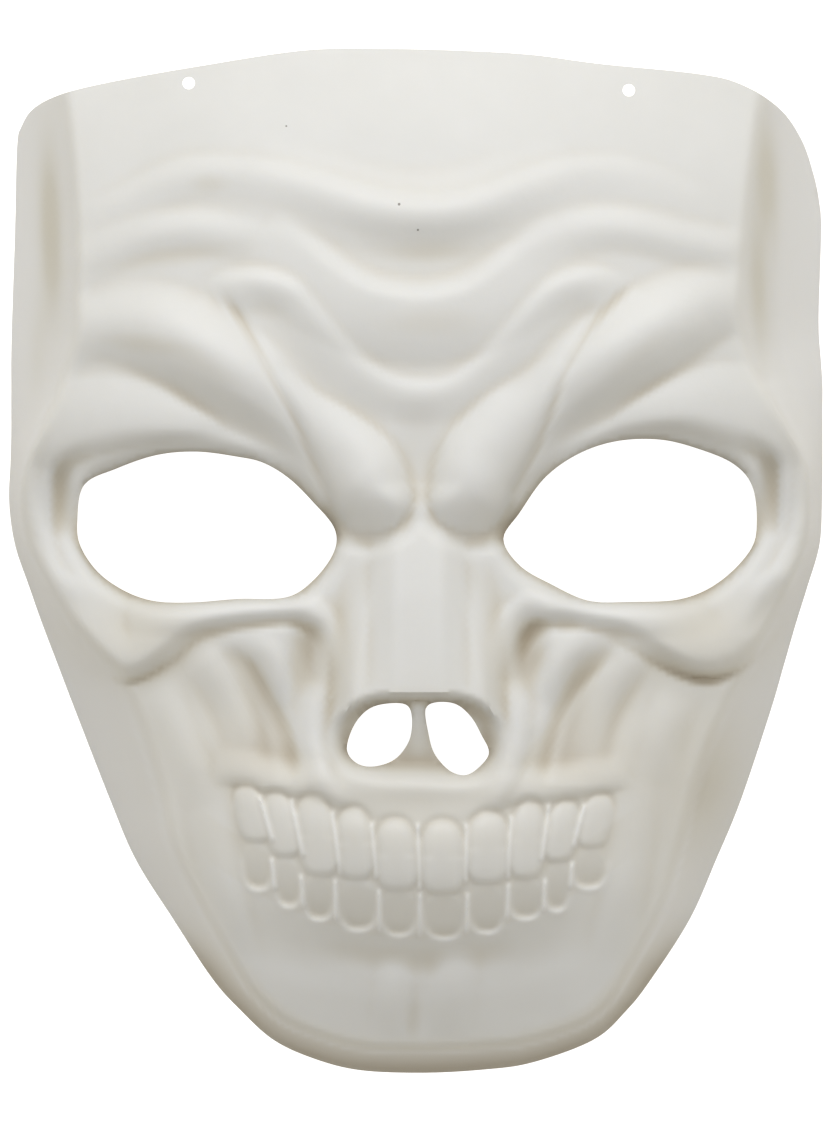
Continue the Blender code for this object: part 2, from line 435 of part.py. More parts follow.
def curve_through(points, step, closed=False):
    """Smooth curve through hand-placed points, as rows about one step apart."""
    points = np.asarray(points, dtype=float)
    count = len(points)
    rows = []
    for index in range(count if closed else count - 1):
        if closed:
            before, start, end, after = (points[(index + shift) % count] for shift in (-1, 0, 1, 2))
        else:
            start, end = points[index], points[index + 1]
            before = points[index - 1] if index else 2.0 * start - end
            after = points[index + 2] if index + 2 < count else 2.0 * end - start
        pieces = max(1, round(float(np.linalg.norm((end - start)[:2])) / step))
        for piece in range(pieces):
            t = piece / pieces
            rows.append(0.5 * (2.0 * start + (end - before) * t
                               + (2.0 * before - 5.0 * start + 4.0 * end - after) * t * t
                               + (3.0 * start - before - 3.0 * end + after) * t ** 3))
    if not closed:
        rows.append(points[-1])
    return np.array(rows)


def nearest_on(path, x, y, closed=False):
    """Distance to a path, the side (+1 on its left), and the path's other columns there."""
    best = np.full(x.shape, 1e9)
    side = np.ones(x.shape)
    extra = np.zeros(x.shape + (path.shape[1] - 2,))
    count = len(path)
    for index in range(count if closed else count - 1):
        start = path[index]
        end = path[(index + 1) % count]
        step_x, step_y = end[0] - start[0], end[1] - start[1]
        length = step_x * step_x + step_y * step_y
        along = np.clip(((x - start[0]) * step_x + (y - start[1]) * step_y) / length, 0.0, 1.0)
        gap_x = x - start[0] - along * step_x
        gap_y = y - start[1] - along * step_y
        gap = gap_x * gap_x + gap_y * gap_y
        near = gap < best
        best[near] = gap[near]
        side[near] = np.where(step_x * gap_y - step_y * gap_x >= 0.0, 1.0, -1.0)[near]
        if extra.shape[-1]:
            extra[near] = (start[2:] + along[..., None] * (end[2:] - start[2:]))[near]
    return np.sqrt(best), side, extra


def inside(loop, x, y):
    """True where a point lies inside a closed loop."""
    hits = np.zeros(x.shape, dtype=bool)
    for index in range(len(loop)):
        start = loop[index]
        end = loop[(index + 1) % len(loop)]
        crosses = (start[1] > y) != (end[1] > y)
        if start[1] != end[1]:
            at_x = start[0] + (y - start[1]) * (end[0] - start[0]) / (end[1] - start[1])
            hits ^= crosses & (x < at_x)
    return hits


def fold_height(fold, x, y):
    """How much a fold or groove lifts the face at each point."""
    path = curve_through(fold.path, 1.5)
    reach = max(fold.above, fold.below)
    near = ((x > path[:, 0].min() - reach) & (x < path[:, 0].max() + reach)
            & (y > path[:, 1].min() - reach) & (y < path[:, 1].max() + reach))
    height = np.zeros(x.shape)
    if not near.any():
        return height
    gap, side, extra = nearest_on(path, x[near], y[near])
    width = np.where(side > 0.0, fold.above, fold.below)
    if extra.shape[-1] > 1:
        width = width * extra[:, 1]
    share = np.minimum(gap / width, 1.0)
    power = np.where(side > 0.0, fold.above_power, fold.below_power)
    height[near] = extra[:, 0] * (1.0 - share * share) ** power
    return height


def column(rows, name, at):
    """One column of a table, read as a smooth curve over its first column."""
    curve = curve_through([(row[0], getattr(row, name)) for row in sorted(rows)], 1.0)
    return np.interp(at, curve[:, 0], curve[:, 1])


def table_edge():
    """The line on which the walls stand, open at the top, with the crease distance as third column."""
    left = [(row.left, row.y, row.left_crease) for row in SIDES]
    right = [(row.right, row.y, row.right_crease) for row in reversed(SIDES)]
    chin = [(row.x, row.y, row.crease) for row in CHIN]
    return curve_through(left + chin + right, 3.0)


def tooth_field(tooth, x, y, power):
    """How far a point lies from the middle of a tooth (1 at its edge), and its shares up and across."""
    centre = 0.5 * (tooth.left + tooth.right)
    along = (y - tooth.bottom) / (tooth.top - tooth.bottom)
    shift = tooth.lean * (along - 0.5)
    across = np.abs(x - centre - shift) / (0.5 * (tooth.right - tooth.left))
    radius = (across ** power + np.abs(2.0 * along - 1.0) ** power) ** (1.0 / power)
    return radius, along, across


def upper_tooth(tooth, x, y):
    """A tooth that domes out of the gum and rolls back over its lower edge."""
    dome, along, across = tooth_field(tooth, x, y, UPPER_TOOTH_ROUND)
    top = np.clip(1.0 - dome ** 2.2, 0.0, 1.0) ** 0.7
    block, along, across = tooth_field(tooth, x, y, 3.0)
    roll = 1.0 - 0.30 * np.clip(1.0 - 2.0 * along, 0.0, 1.0) ** 4
    low = np.clip(1.0 - across ** 3.2, 0.0, 1.0) ** 0.7 * roll * (1.0 - smooth_step((block - 0.92) / 0.12))
    return tooth.rise * np.where(along > 0.5, top, low)


def gum_crease(tooth, x, y):
    """Narrow crease where the gum meets the arched top of an upper tooth."""
    dome, along, across = tooth_field(tooth, x, y, UPPER_TOOTH_ROUND)
    return -0.55 * np.exp(-((dome - 1.05) / 0.10) ** 2) * smooth_step((along - 0.55) / 0.25)


def lower_tooth(tooth, x, y):
    """A tooth that leans back towards its root, in a raised edge of gum."""
    block, along, across = tooth_field(tooth, x, y, LOWER_TOOTH_ROUND)
    within = 1.0 - smooth_step((block - 0.80) / 0.20)
    low = np.clip(1.0 - along, 0.0, 1.0)
    lean = tooth.rise * (1.15 * low ** 1.5 - 0.25) * (1.0 - across ** 3)
    edge = 0.45 * np.exp(-((block - 1.04) / 0.10) ** 2) * smooth_step((0.75 - along) / 0.3)
    return edge - lean * within


def front_height(x, y):
    """Outer surface before the side walls cut it off."""
    reach = np.abs(x) / FACE_HALF
    z = column(PROFILE, "centre", y) - column(PROFILE, "side_drop", y) * reach ** FACE_FALL
    # nose
    middle = np.abs(x - NOSE_MIDDLE)
    top = column(NOSE, "top", y)
    foot = column(NOSE, "foot", y)
    share = np.clip((middle - top) / (foot - top), 0.0, 1.0)
    nose = column(NOSE, "rise", y) * (1.0 - 0.6 * share - 0.4 * smooth_step(share))
    strip = np.clip((STRIP_FOOT - middle) / (STRIP_FOOT - STRIP_HALF), 0.0, 1.0)
    nose = nose + column(NOSE, "strip", y) * strip
    tip = NOSE_TIP_Y - NOSE_TIP_DROOP * np.clip(middle / NOSE_TIP_HALF, 0.0, 1.3) ** 4
    above_tip = smooth_step((y - tip + 0.5 * NOSE_TIP_WIDTH) / NOSE_TIP_WIDTH)
    z = z + nose * (NOSE_BELOW_TIP + (1.0 - NOSE_BELOW_TIP) * above_tip)
    # mouth
    span = ((x - MOUTH_CENTRE[0]) / MOUTH_HALF[0]) ** 2 + ((y - MOUTH_CENTRE[1]) / MOUTH_HALF[1]) ** 2
    z = z + MOUTH_RISE * np.where(span < 1.0, (1.0 - span) ** 2, 0.0)
    for fold in FOLDS + GROOVES:
        z = z + fold_height(fold, x, y)
    # nose cavity
    cavity = curve_through(CAVITY, 1.5, closed=True)
    gap, _, _ = nearest_on(cavity, x, y, closed=True)
    within = inside(cavity, x, y)
    ramp = smooth_step((CAVITY_TOP_Y - y) / (CAVITY_TOP_Y - CAVITY_LOW_Y))
    slope_run = CAVITY_TOP_SLOPE + (CAVITY_LOW_SLOPE - CAVITY_TOP_SLOPE) * ramp
    depth = CAVITY_TOP_DEPTH + (CAVITY_LOW_DEPTH - CAVITY_TOP_DEPTH) * ramp
    z = z - depth * np.where(within, smooth_step(gap / slope_run), 0.0)
    septum = np.clip(1.0 - (x - NOSE_MIDDLE) ** 2 / SEPTUM_HALF ** 2, 0.0, 1.0) ** 2
    septum = septum * (1.0 - ramp) * smooth_step((SEPTUM_TOP_Y - y) / 1.5)
    z = z + np.where(within, SEPTUM_RISE * septum, 0.0)
    # teeth
    upper = np.zeros(x.shape)
    crease = np.zeros(x.shape)
    for tooth in UPPER_TEETH:
        upper = np.maximum(upper, upper_tooth(tooth, x, y))
        crease = np.minimum(crease, gum_crease(tooth, x, y))
    lower = np.zeros(x.shape)
    for tooth in LOWER_TEETH:
        shape = lower_tooth(tooth, x, y)
        lower = np.where(np.abs(shape) > np.abs(lower), shape, lower)
    bare = 1.0 - np.clip(upper / 0.3, 0.0, 1.0)
    z = z + upper + (lower + crease) * bare
    # rolled eye edges
    for eye in (EYE_LEFT, EYE_RIGHT):
        loop = curve_through(eye, 2.0, closed=True)
        gap, _, _ = nearest_on(loop, x, y, closed=True)
        gap = np.where(inside(loop, x, y), 0.0, gap)
        z = z - EYE_ROLL * np.clip(1.0 - gap / EYE_ROLL_REACH, 0.0, 1.0) ** 2
    return z


def mask_height(x, y):
    """Outer surface of the mask above the table it lies on."""
    z = front_height(x, y)
    edge = table_edge()
    gap, side, extra = nearest_on(edge, x, y)
    share = gap * side / extra[..., 0]
    wall = WALL_HEIGHT * np.interp(share, WALL_RUN, WALL_RISE)
    blend = np.interp(-y, WALL_BLEND_DOWN, WALL_BLEND)
    z = smooth_low(z, wall, blend)
    for ridge in RIDGES:
        z = z + fold_height(ridge, x, y)
    return z


def outline():
    """Trimmed outer edge as one closed loop, walked with the mask on the left."""
    left = [(row.left, row.y) for row in SIDES if row.y < 95]
    right = [(row.right, row.y) for row in reversed(SIDES) if row.y < 80]
    chin = [(row.x, row.y) for row in CHIN]
    return curve_through(left + chin + right + list(reversed(TOP_EDGE)), 1.0, closed=True)


def height_grid(step, soften):
    """Heights on a square grid over the whole mask, with every edge softened as a drawn sheet is."""
    xs = np.arange(-GRID_HALF[0], GRID_HALF[0] + step, step)
    ys = np.arange(-GRID_HALF[1], GRID_HALF[1] + step, step)
    x, y = np.meshgrid(xs, ys)
    z = mask_height(x.ravel(), y.ravel()).reshape(x.shape)
    reach = int(math.ceil(3.0 * soften / step))
    weights = np.exp(-0.5 * (np.arange(-reach, reach + 1) * step / soften) ** 2)
    weights = weights / weights.sum()
    for axis in (0, 1):
        padded = np.pad(z, [(reach, reach) if axis == index else (0, 0) for index in (0, 1)], mode="edge")
        total = np.zeros(z.shape)
        for index, weight in enumerate(weights):
            total += weight * np.take(padded, range(index, index + z.shape[axis]), axis=axis)
        z = total
    return xs, ys, z


def inner_grid(z, step):
    """Inner face of the sheet: the outer one moved in by the sheet's thickness."""
    reach = int(SHEET / step)
    padded = np.pad(z, reach, mode="edge")
    inner = np.full(z.shape, 1e9)
    for down in range(-reach, reach + 1):
        for over in range(-reach, reach + 1):
            gap = SHEET ** 2 - (down * down + over * over) * step * step
            if gap < -1e-9:
                continue
            part = padded[reach + down:reach + down + z.shape[0], reach + over:reach + over + z.shape[1]]
            inner = np.minimum(inner, part - math.sqrt(max(gap, 0.0)))
    return inner


def read_grid(xs, ys, grid, points):
    """Height at each point, read between the grid's nodes."""
    step = xs[1] - xs[0]
    across = (points[:, 0] - xs[0]) / step
    up = (points[:, 1] - ys[0]) / step
    column_index = np.clip(across.astype(int), 0, len(xs) - 2)
    row_index = np.clip(up.astype(int), 0, len(ys) - 2)
    across = across - column_index
    up = up - row_index
    low = grid[row_index, column_index] * (1 - across) + grid[row_index, column_index + 1] * across
    high = (grid[row_index + 1, column_index] * (1 - across)
            + grid[row_index + 1, column_index + 1] * across)
    return low * (1 - up) + high * up


def even_points(path, step, closed=False):
    """Points about one step apart along a path."""
    if closed:
        path = np.vstack([path, path[:1]])
    lengths = np.hypot(*np.diff(path[:, :2], axis=0).T)
    run = np.concatenate([[0.0], np.cumsum(lengths)])
    count = max(8, int(round(run[-1] / step)))
    at = np.linspace(0.0, run[-1], count + 1)
    if closed:
        at = at[:-1]
    return np.stack([np.interp(at, run, path[:, index]) for index in range(path.shape[1])], axis=1)


def inset(loop, distance):
    """A closed loop moved towards its left side; a hole's loop is walked the other way, so it grows."""
    ahead = np.roll(loop, -1, axis=0) - np.roll(loop, 1, axis=0)
    ahead = ahead / np.hypot(ahead[:, 0], ahead[:, 1])[:, None]
    return loop[:, :2] + distance * np.stack([-ahead[:, 1], ahead[:, 0]], axis=1)


def circle(centre, radius, count):
    """A round hole's edge, walked clockwise like the other holes."""
    angles = np.arange(count) * -2.0 * math.pi / count
    return np.stack([centre[0] + radius * np.cos(angles), centre[1] + radius * np.sin(angles)], axis=1)


def hex_points(step):
    """Rows of points at the corners of even triangles over the whole mask."""
    points = []
    row = 0
    y = -GRID_HALF[1]
    while y < GRID_HALF[1]:
        start = -GRID_HALF[0] + (0.5 * step if row % 2 else 0.0)
        xs = np.arange(start, GRID_HALF[0], step)
        points.append(np.stack([xs, np.full(xs.shape, y)], axis=1))
        row += 1
        y += step * math.sqrt(3.0) / 2.0
    return np.vstack(points)


def wall_rings(edge, trimmed):
    """Rows of points up the side walls, so that the facets follow the walls' bends."""
    path = even_points(edge, WALL_STEP)
    ahead = np.gradient(path[:, :2], axis=0)
    ahead = ahead / np.hypot(ahead[:, 0], ahead[:, 1])[:, None]
    inward = np.stack([-ahead[:, 1], ahead[:, 0]], axis=1)
    rings = []
    for share in WALL_RINGS:
        ring = path[:, :2] + inward * (share * path[:, 2:3])
        gap, _, _ = nearest_on(trimmed, ring[:, 0], ring[:, 1], closed=True)
        rings.append(ring[inside(trimmed, ring[:, 0], ring[:, 1]) & (gap > RIM_WIDTH + 1.0)])
    return np.vstack(rings)


def guide_points(trimmed, holes, edge):
    """Points along the walls, the rolled eye edges and the nose cavity, where facets follow the form."""
    guides = [wall_rings(edge, trimmed)]
    for eye in (EYE_LEFT, EYE_RIGHT):
        loop = even_points(curve_through(eye, 1.0, closed=True), EYE_STEP + 0.4, closed=True)
        guides += [inset(loop, distance) for distance in EYE_RINGS]
    loop = even_points(curve_through(CAVITY, 1.0, closed=True), NOSTRIL_STEP, closed=True)
    guides += [inset(loop, distance) for distance in CAVITY_RINGS]
    kept = np.zeros((0, 2))
    for guide in guides:
        clear = inside(trimmed, guide[:, 0], guide[:, 1])
        for hole in holes:
            gap, _, _ = nearest_on(hole, guide[:, 0], guide[:, 1], closed=True)
            clear &= ~inside(hole, guide[:, 0], guide[:, 1]) & (gap > 0.7)
        gap, _, _ = nearest_on(trimmed, guide[:, 0], guide[:, 1], closed=True)
        clear &= gap > RIM_WIDTH + 1.0
        guide = guide[clear]
        if len(kept) and len(guide):
            apart = np.hypot(guide[:, None, 0] - kept[None, :, 0], guide[:, None, 1] - kept[None, :, 1])
            guide = guide[apart.min(axis=1) > GUIDE_GAP]
        kept = np.vstack([kept, guide])
    return kept


def spread_points(trimmed, holes, edge):
    """Points inside the trimmed edge, close together where the form turns quickly."""
    guides = guide_points(trimmed, holes, edge)
    kept = [guides]
    for step, zone in ((TOOTH_STEP, True), (FACE_STEP, False)):
        points = hex_points(step)
        x, y = points[:, 0], points[:, 1]
        span = (np.abs((x - TOOTH_ZONE[0]) / TOOTH_ZONE[2]) ** 3
                + np.abs((y - TOOTH_ZONE[1] - TOOTH_SMILE * x * x) / TOOTH_ZONE[3]) ** 3)
        points = points[(span < 1.0) == zone]
        x, y = points[:, 0], points[:, 1]
        gap, _, _ = nearest_on(trimmed, x, y, closed=True)
        clear = inside(trimmed, x, y) & (gap > RIM_WIDTH + 0.7 * step)
        gap, side, extra = nearest_on(edge, x, y)
        clear &= gap > extra[:, 0] * WALL_RINGS[-1] + 0.6 * step
        apart = np.hypot(x[:, None] - guides[None, :, 0], y[:, None] - guides[None, :, 1])
        clear &= apart.min(axis=1) > 0.62 * step
        for hole in holes:
            gap, _, _ = nearest_on(hole, x, y, closed=True)
            clear &= ~inside(hole, x, y) & (gap > 0.65 * step)
        kept.append(points[clear])
    return np.vstack(kept)


def sheet_mesh(trimmed, holes, points, heights):
    """One closed solid: outer face, inner face, trimmed edge and the cut edges of the holes."""
    rim = inset(trimmed, RIM_WIDTH)
    loops = [rim] + holes
    flat = np.vstack(loops + [points])
    edges = []
    start = 0
    for loop in loops:
        count = len(loop)
        edges += [(start + index, start + (index + 1) % count) for index in range(count)]
        start += count
    result = delaunay_2d_cdt([Vector(point) for point in flat], edges, [], 0, 1e-6)
    plane = np.array([tuple(vertex) for vertex in result[0]])
    faces = [face for face in result[2] if len(face) == 3]
    where = {}
    for index, sources in enumerate(result[3]):
        for source in sources:
            where[source] = index
    middle = np.array([plane[list(face)].mean(axis=0) for face in faces])
    keep = inside(rim, middle[:, 0], middle[:, 1])
    for hole in holes:
        keep &= ~inside(hole, middle[:, 0], middle[:, 1])
    faces = [face for face, kept in zip(faces, keep) if kept]

    xs, ys, outer, inner = heights
    outer_z = read_grid(xs, ys, outer, plane)
    inner_z = np.minimum(read_grid(xs, ys, inner, plane), outer_z - 0.8 * SHEET)
    edge_z = read_grid(xs, ys, outer, trimmed)
    gap, _, _ = nearest_on(table_edge(), trimmed[:, 0], trimmed[:, 1])
    edge_z[(gap < FLOOR_SNAP) & (trimmed[:, 1] < TOP_EDGE[0][1])] = 0.0
    for index in range(len(rim)):
        if edge_z[index] == 0.0:
            inner_z[where[index]] = 0.0
    inner_z = np.maximum(inner_z, 0.0)

    count = len(plane)
    vertices = [(x, y, z) for (x, y), z in zip(plane, outer_z)]
    vertices += [(x, y, z) for (x, y), z in zip(plane, inner_z)]
    vertices += [(x, y, z) for (x, y), z in zip(trimmed, edge_z)]
    solid = []
    for a, b, c in faces:
        first, second, third = plane[a], plane[b], plane[c]
        turn = ((second[0] - first[0]) * (third[1] - first[1])
                - (second[1] - first[1]) * (third[0] - first[0]))
        if turn < 0.0:
            b, c = c, b
        solid.append((a, b, c))
        solid.append((a + count, c + count, b + count))
    for index in range(len(rim)):
        after = (index + 1) % len(rim)
        here, there = where[index], where[after]
        low, high = 2 * count + index, 2 * count + after
        solid.append((low, high, there))
        solid.append((low, there, here))
        solid.append((low, here + count, there + count))
        solid.append((low, there + count, high))
    start = len(rim)
    for hole in holes:
        for index in range(len(hole)):
            here = where[start + index]
            there = where[start + (index + 1) % len(hole)]
            solid.append((here, here + count, there + count))
            solid.append((here, there + count, there))
        start += len(hole)
    return vertices, solid


def clear_scene():
    """Remove the objects that the file opens with."""
    for item in list(bpy.data.objects):
        bpy.data.objects.remove(item, do_unlink=True)


def sheet_material():
    """Off-white satin plastic."""
    material = bpy.data.materials.new("formed_plastic")
    material.use_nodes = True
    shader = material.node_tree.nodes["Principled BSDF"]
    shader.inputs["Base Color"].default_value = PLASTIC_COLOUR
    shader.inputs["Roughness"].default_value = PLASTIC_ROUGHNESS
    shader.inputs["Metallic"].default_value = 0.0
    return material


def build():
    """The formed sheet as one closed solid in metres."""
    clear_scene()
    xs, ys, outer = height_grid(GRID_STEP, SOFTEN)
    inner = inner_grid(outer, GRID_STEP)
    edge = table_edge()
    trimmed = even_points(outline(), RIM_STEP, closed=True)
    holes = [even_points(curve_through(eye, 1.0, closed=True), EYE_STEP, closed=True)
             for eye in (EYE_LEFT, EYE_RIGHT)]
    holes += [even_points(curve_through(nostril, 0.7, closed=True), NOSTRIL_STEP, closed=True)
              for nostril in (NOSTRIL_LEFT, NOSTRIL_RIGHT)]
    holes += [circle(centre, STRAP_HOLE, STRAP_HOLE_SIDES) for centre in STRAP_HOLES]
    points = spread_points(trimmed, holes, edge)
    vertices, faces = sheet_mesh(trimmed, holes, points, (xs, ys, outer, inner))
    mesh = bpy.data.meshes.new("mask_shell")
    placed = [((x - MIDDLE_X) * MM, y * MM, z * MM) for x, y, z in vertices]
    mesh.from_pydata(placed, [], faces)
    mesh.materials.append(sheet_material())
    mesh.shade_smooth()
    mesh.set_sharp_from_angle(angle=SHARP_ANGLE)
    mask = bpy.data.objects.new("mask_shell", mesh)
    bpy.context.scene.collection.objects.link(mask)


build()
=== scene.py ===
import math
from collections import namedtuple

import bpy
import numpy as np
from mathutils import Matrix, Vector
from mathutils.geometry import delaunay_2d_cdt


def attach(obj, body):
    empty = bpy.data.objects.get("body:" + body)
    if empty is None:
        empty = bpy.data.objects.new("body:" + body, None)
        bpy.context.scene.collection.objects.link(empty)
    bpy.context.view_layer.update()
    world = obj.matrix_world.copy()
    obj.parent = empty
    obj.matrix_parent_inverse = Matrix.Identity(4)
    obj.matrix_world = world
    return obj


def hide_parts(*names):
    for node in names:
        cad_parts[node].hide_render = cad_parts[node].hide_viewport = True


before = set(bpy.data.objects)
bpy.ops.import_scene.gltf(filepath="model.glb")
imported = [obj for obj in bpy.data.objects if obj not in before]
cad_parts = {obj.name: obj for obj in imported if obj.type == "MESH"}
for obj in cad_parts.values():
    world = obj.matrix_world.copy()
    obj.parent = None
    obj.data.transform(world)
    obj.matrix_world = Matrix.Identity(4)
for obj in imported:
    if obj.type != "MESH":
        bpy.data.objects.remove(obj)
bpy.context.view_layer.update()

# The tables are in millimetres, and the middle of the outline lies a little beside their zero
MM = 0.001
MIDDLE_X = -0.25

# Sheet thickness, width of the trimmed edge, and how near the table line an edge point stands on the table
SHEET = 1.0
RIM_WIDTH = 0.9
FLOOR_SNAP = 0.7

# Height grid: step, half width and half height, and how far a drawn sheet softens each edge
GRID_STEP = 0.4
GRID_HALF = (99.0, 124.0)
SOFTEN = 0.45

# Sizes of the facets
RIM_STEP = 1.1
WALL_STEP = 1.15
FACE_STEP = 1.3
TOOTH_STEP = 0.55
EYE_STEP = 1.0
NOSTRIL_STEP = 0.7
STRAP_HOLE_SIDES = 28
POINT_GAP = 0.6

# Where the facets are small: a share of the crease distance, the rows of teeth and the nose openings
WALL_BAND = 1.35
TOOTH_ZONE = (0.5, -72.5, 50.0, 17.5)
TOOTH_SMILE = 0.0045
NOSE_ZONE = (-41.0, 22.0, 13.0)

# Centre line of the face, from the top edge to the chin, before any fold
Profile = namedtuple("Profile", "y centre side_drop")
PROFILE = [Profile(*row) for row in (
    (126, 33, 15),
    (112, 41, 15),
    (98, 47.5, 15.5),
    (84, 52, 16),
    (68, 55, 16),
    (50, 57, 16),
    (30, 57, 17),
    (10, 55.5, 20),
    (-10, 55.5, 22),
    (-30, 56, 25),
    (-50, 56.5, 28),
    (-70, 54.5, 30),
    (-84, 50.5, 29),
    (-98, 44.5, 26),
    (-110, 38, 22),
    (-122, 31, 19),
)]

# Sides of the mask where the walls stand on the table, left and right of the middle
Side = namedtuple("Side", "y left right left_crease right_crease")
SIDES = [Side(*row) for row in (
    (128, -94, 95, 16.5, 20),
    (99, -94.1, 95, 16.5, 20),
    (78, -94.6, 95.1, 17, 20.5),
    (57, -95.3, 94.5, 16.5, 19.5),
    (48, -95.5, 95, 15, 18),
    (42, -95.5, 95.4, 13.5, 15.5),
    (36, -95.5, 95.4, 11, 12),
    (30, -95.5, 95.4, 8, 8.5),
    (23, -95.7, 95.4, 5, 5),
    (14, -96, 95.3, 4, 4),
    (4, -94.6, 94.7, 4.4, 4.4),
    (-6, -91.2, 91.8, 5.5, 5.5),
    (-14, -88.4, 89.3, 7.5, 7.5),
    (-24, -84.6, 86.4, 11, 9.5),
    (-35, -80.4, 83.2, 15, 12.5),
    (-56, -72.2, 76.2, 13.5, 13),
    (-70, -66.2, 70.4, 10.5, 10.5),
    (-84, -57.4, 64.2, 8, 8.5),
    (-98, -48.2, 55.2, 7, 7),
)]

# Lower edge of the chin, from the left jaw to the right one
Chin = namedtuple("Chin", "x y crease")
CHIN = [Chin(*row) for row in (
    (-41.6, -105.4, 6),
    (-34, -112.3, 6.5),
    (-25, -116.6, 7),
    (-14, -119.5, 7),
    (0.7, -120.2, 7),
    (15, -119.5, 7),
    (27, -117.8, 6.5),
    (41.6, -112.4, 6),
    (49.4, -105.4, 5.5),
)]

# Height of a side wall against its distance in from the table edge, both from 0 to 1 at the crease
WALL_RUN = (-2, 0, 0.25, 0.50, 0.75, 1, 1.6, 4)
WALL_RISE = (-1.6, 0, 0.17, 0.37, 0.67, 1.06, 1.95, 5.4)
WALL_HEIGHT = 44.0

# How widely the wall rounds over into the face, against the distance down the mask from its middle
WALL_BLEND_DOWN = (-120, 18, 48, 88, 106, 122)
WALL_BLEND = (4.5, 4.5, 9, 9, 6, 5)

# Trimmed top edge, from the left wall over the forehead to the right wall
TOP_EDGE = (
    (-94.1, 98), (-93, 102.6), (-90.2, 106.6), (-84, 109.6), (-72, 112.5),
    (-51, 116.2), (-26, 119.9), (-6, 120.2), (12, 119.7), (27, 118.8),
    (43, 116.7), (66, 114.4), (76, 112), (85.2, 106.4), (90.4, 99.3),
    (93.2, 91.5), (94.6, 85),
)

EYE_LEFT = (
    (-79.6, 9.5), (-78, 18), (-70.5, 21.8), (-61, 25), (-51.5, 25.8), (-42, 24.6),
    (-36, 23.2), (-30, 19.6), (-24.5, 14.2), (-19.4, 8), (-19.4, 2.5), (-24, -4),
    (-30.5, -8.2), (-42, -8.6), (-52, -9.4), (-61, -9.2), (-68, -7), (-74.5, -2.6),
    (-78.8, 3.6),
)
EYE_RIGHT = (
    (20.2, 5.4), (24, 11.5), (30, 19.8), (38, 25.4), (47, 28.3), (57, 28.6),
    (66, 26.4), (74, 23), (78.4, 18), (79.6, 10), (78.2, 3), (71, -4.5),
    (62, -8.6), (50, -9.3), (40, -9), (31, -5), (24, -0.8),
)
NOSTRIL_LEFT = (
    (-16.4, -43.6), (-14.6, -38), (-11, -34.2), (-6, -33), (-2.2, -33.6), (-1.2, -37),
    (-2, -42), (-5.4, -46.2), (-10.5, -47.8), (-14.4, -46.8),
)
NOSTRIL_RIGHT = (
    (2, -34.4), (4.4, -32.8), (9, -33.2), (12.6, -36.2), (15, -40.4), (16.8, -44.6),
    (14.4, -48), (11.2, -49.8), (7.4, -48.6), (4, -44.6), (2.6, -39.6),
)

STRAP_HOLES = ((-53.5, 112.2), (49.6, 110.5))
STRAP_HOLE = 1.45

# Depth and width of the rolled edge round each eye opening
EYE_ROLL = 3.2
EYE_ROLL_REACH = 4.0

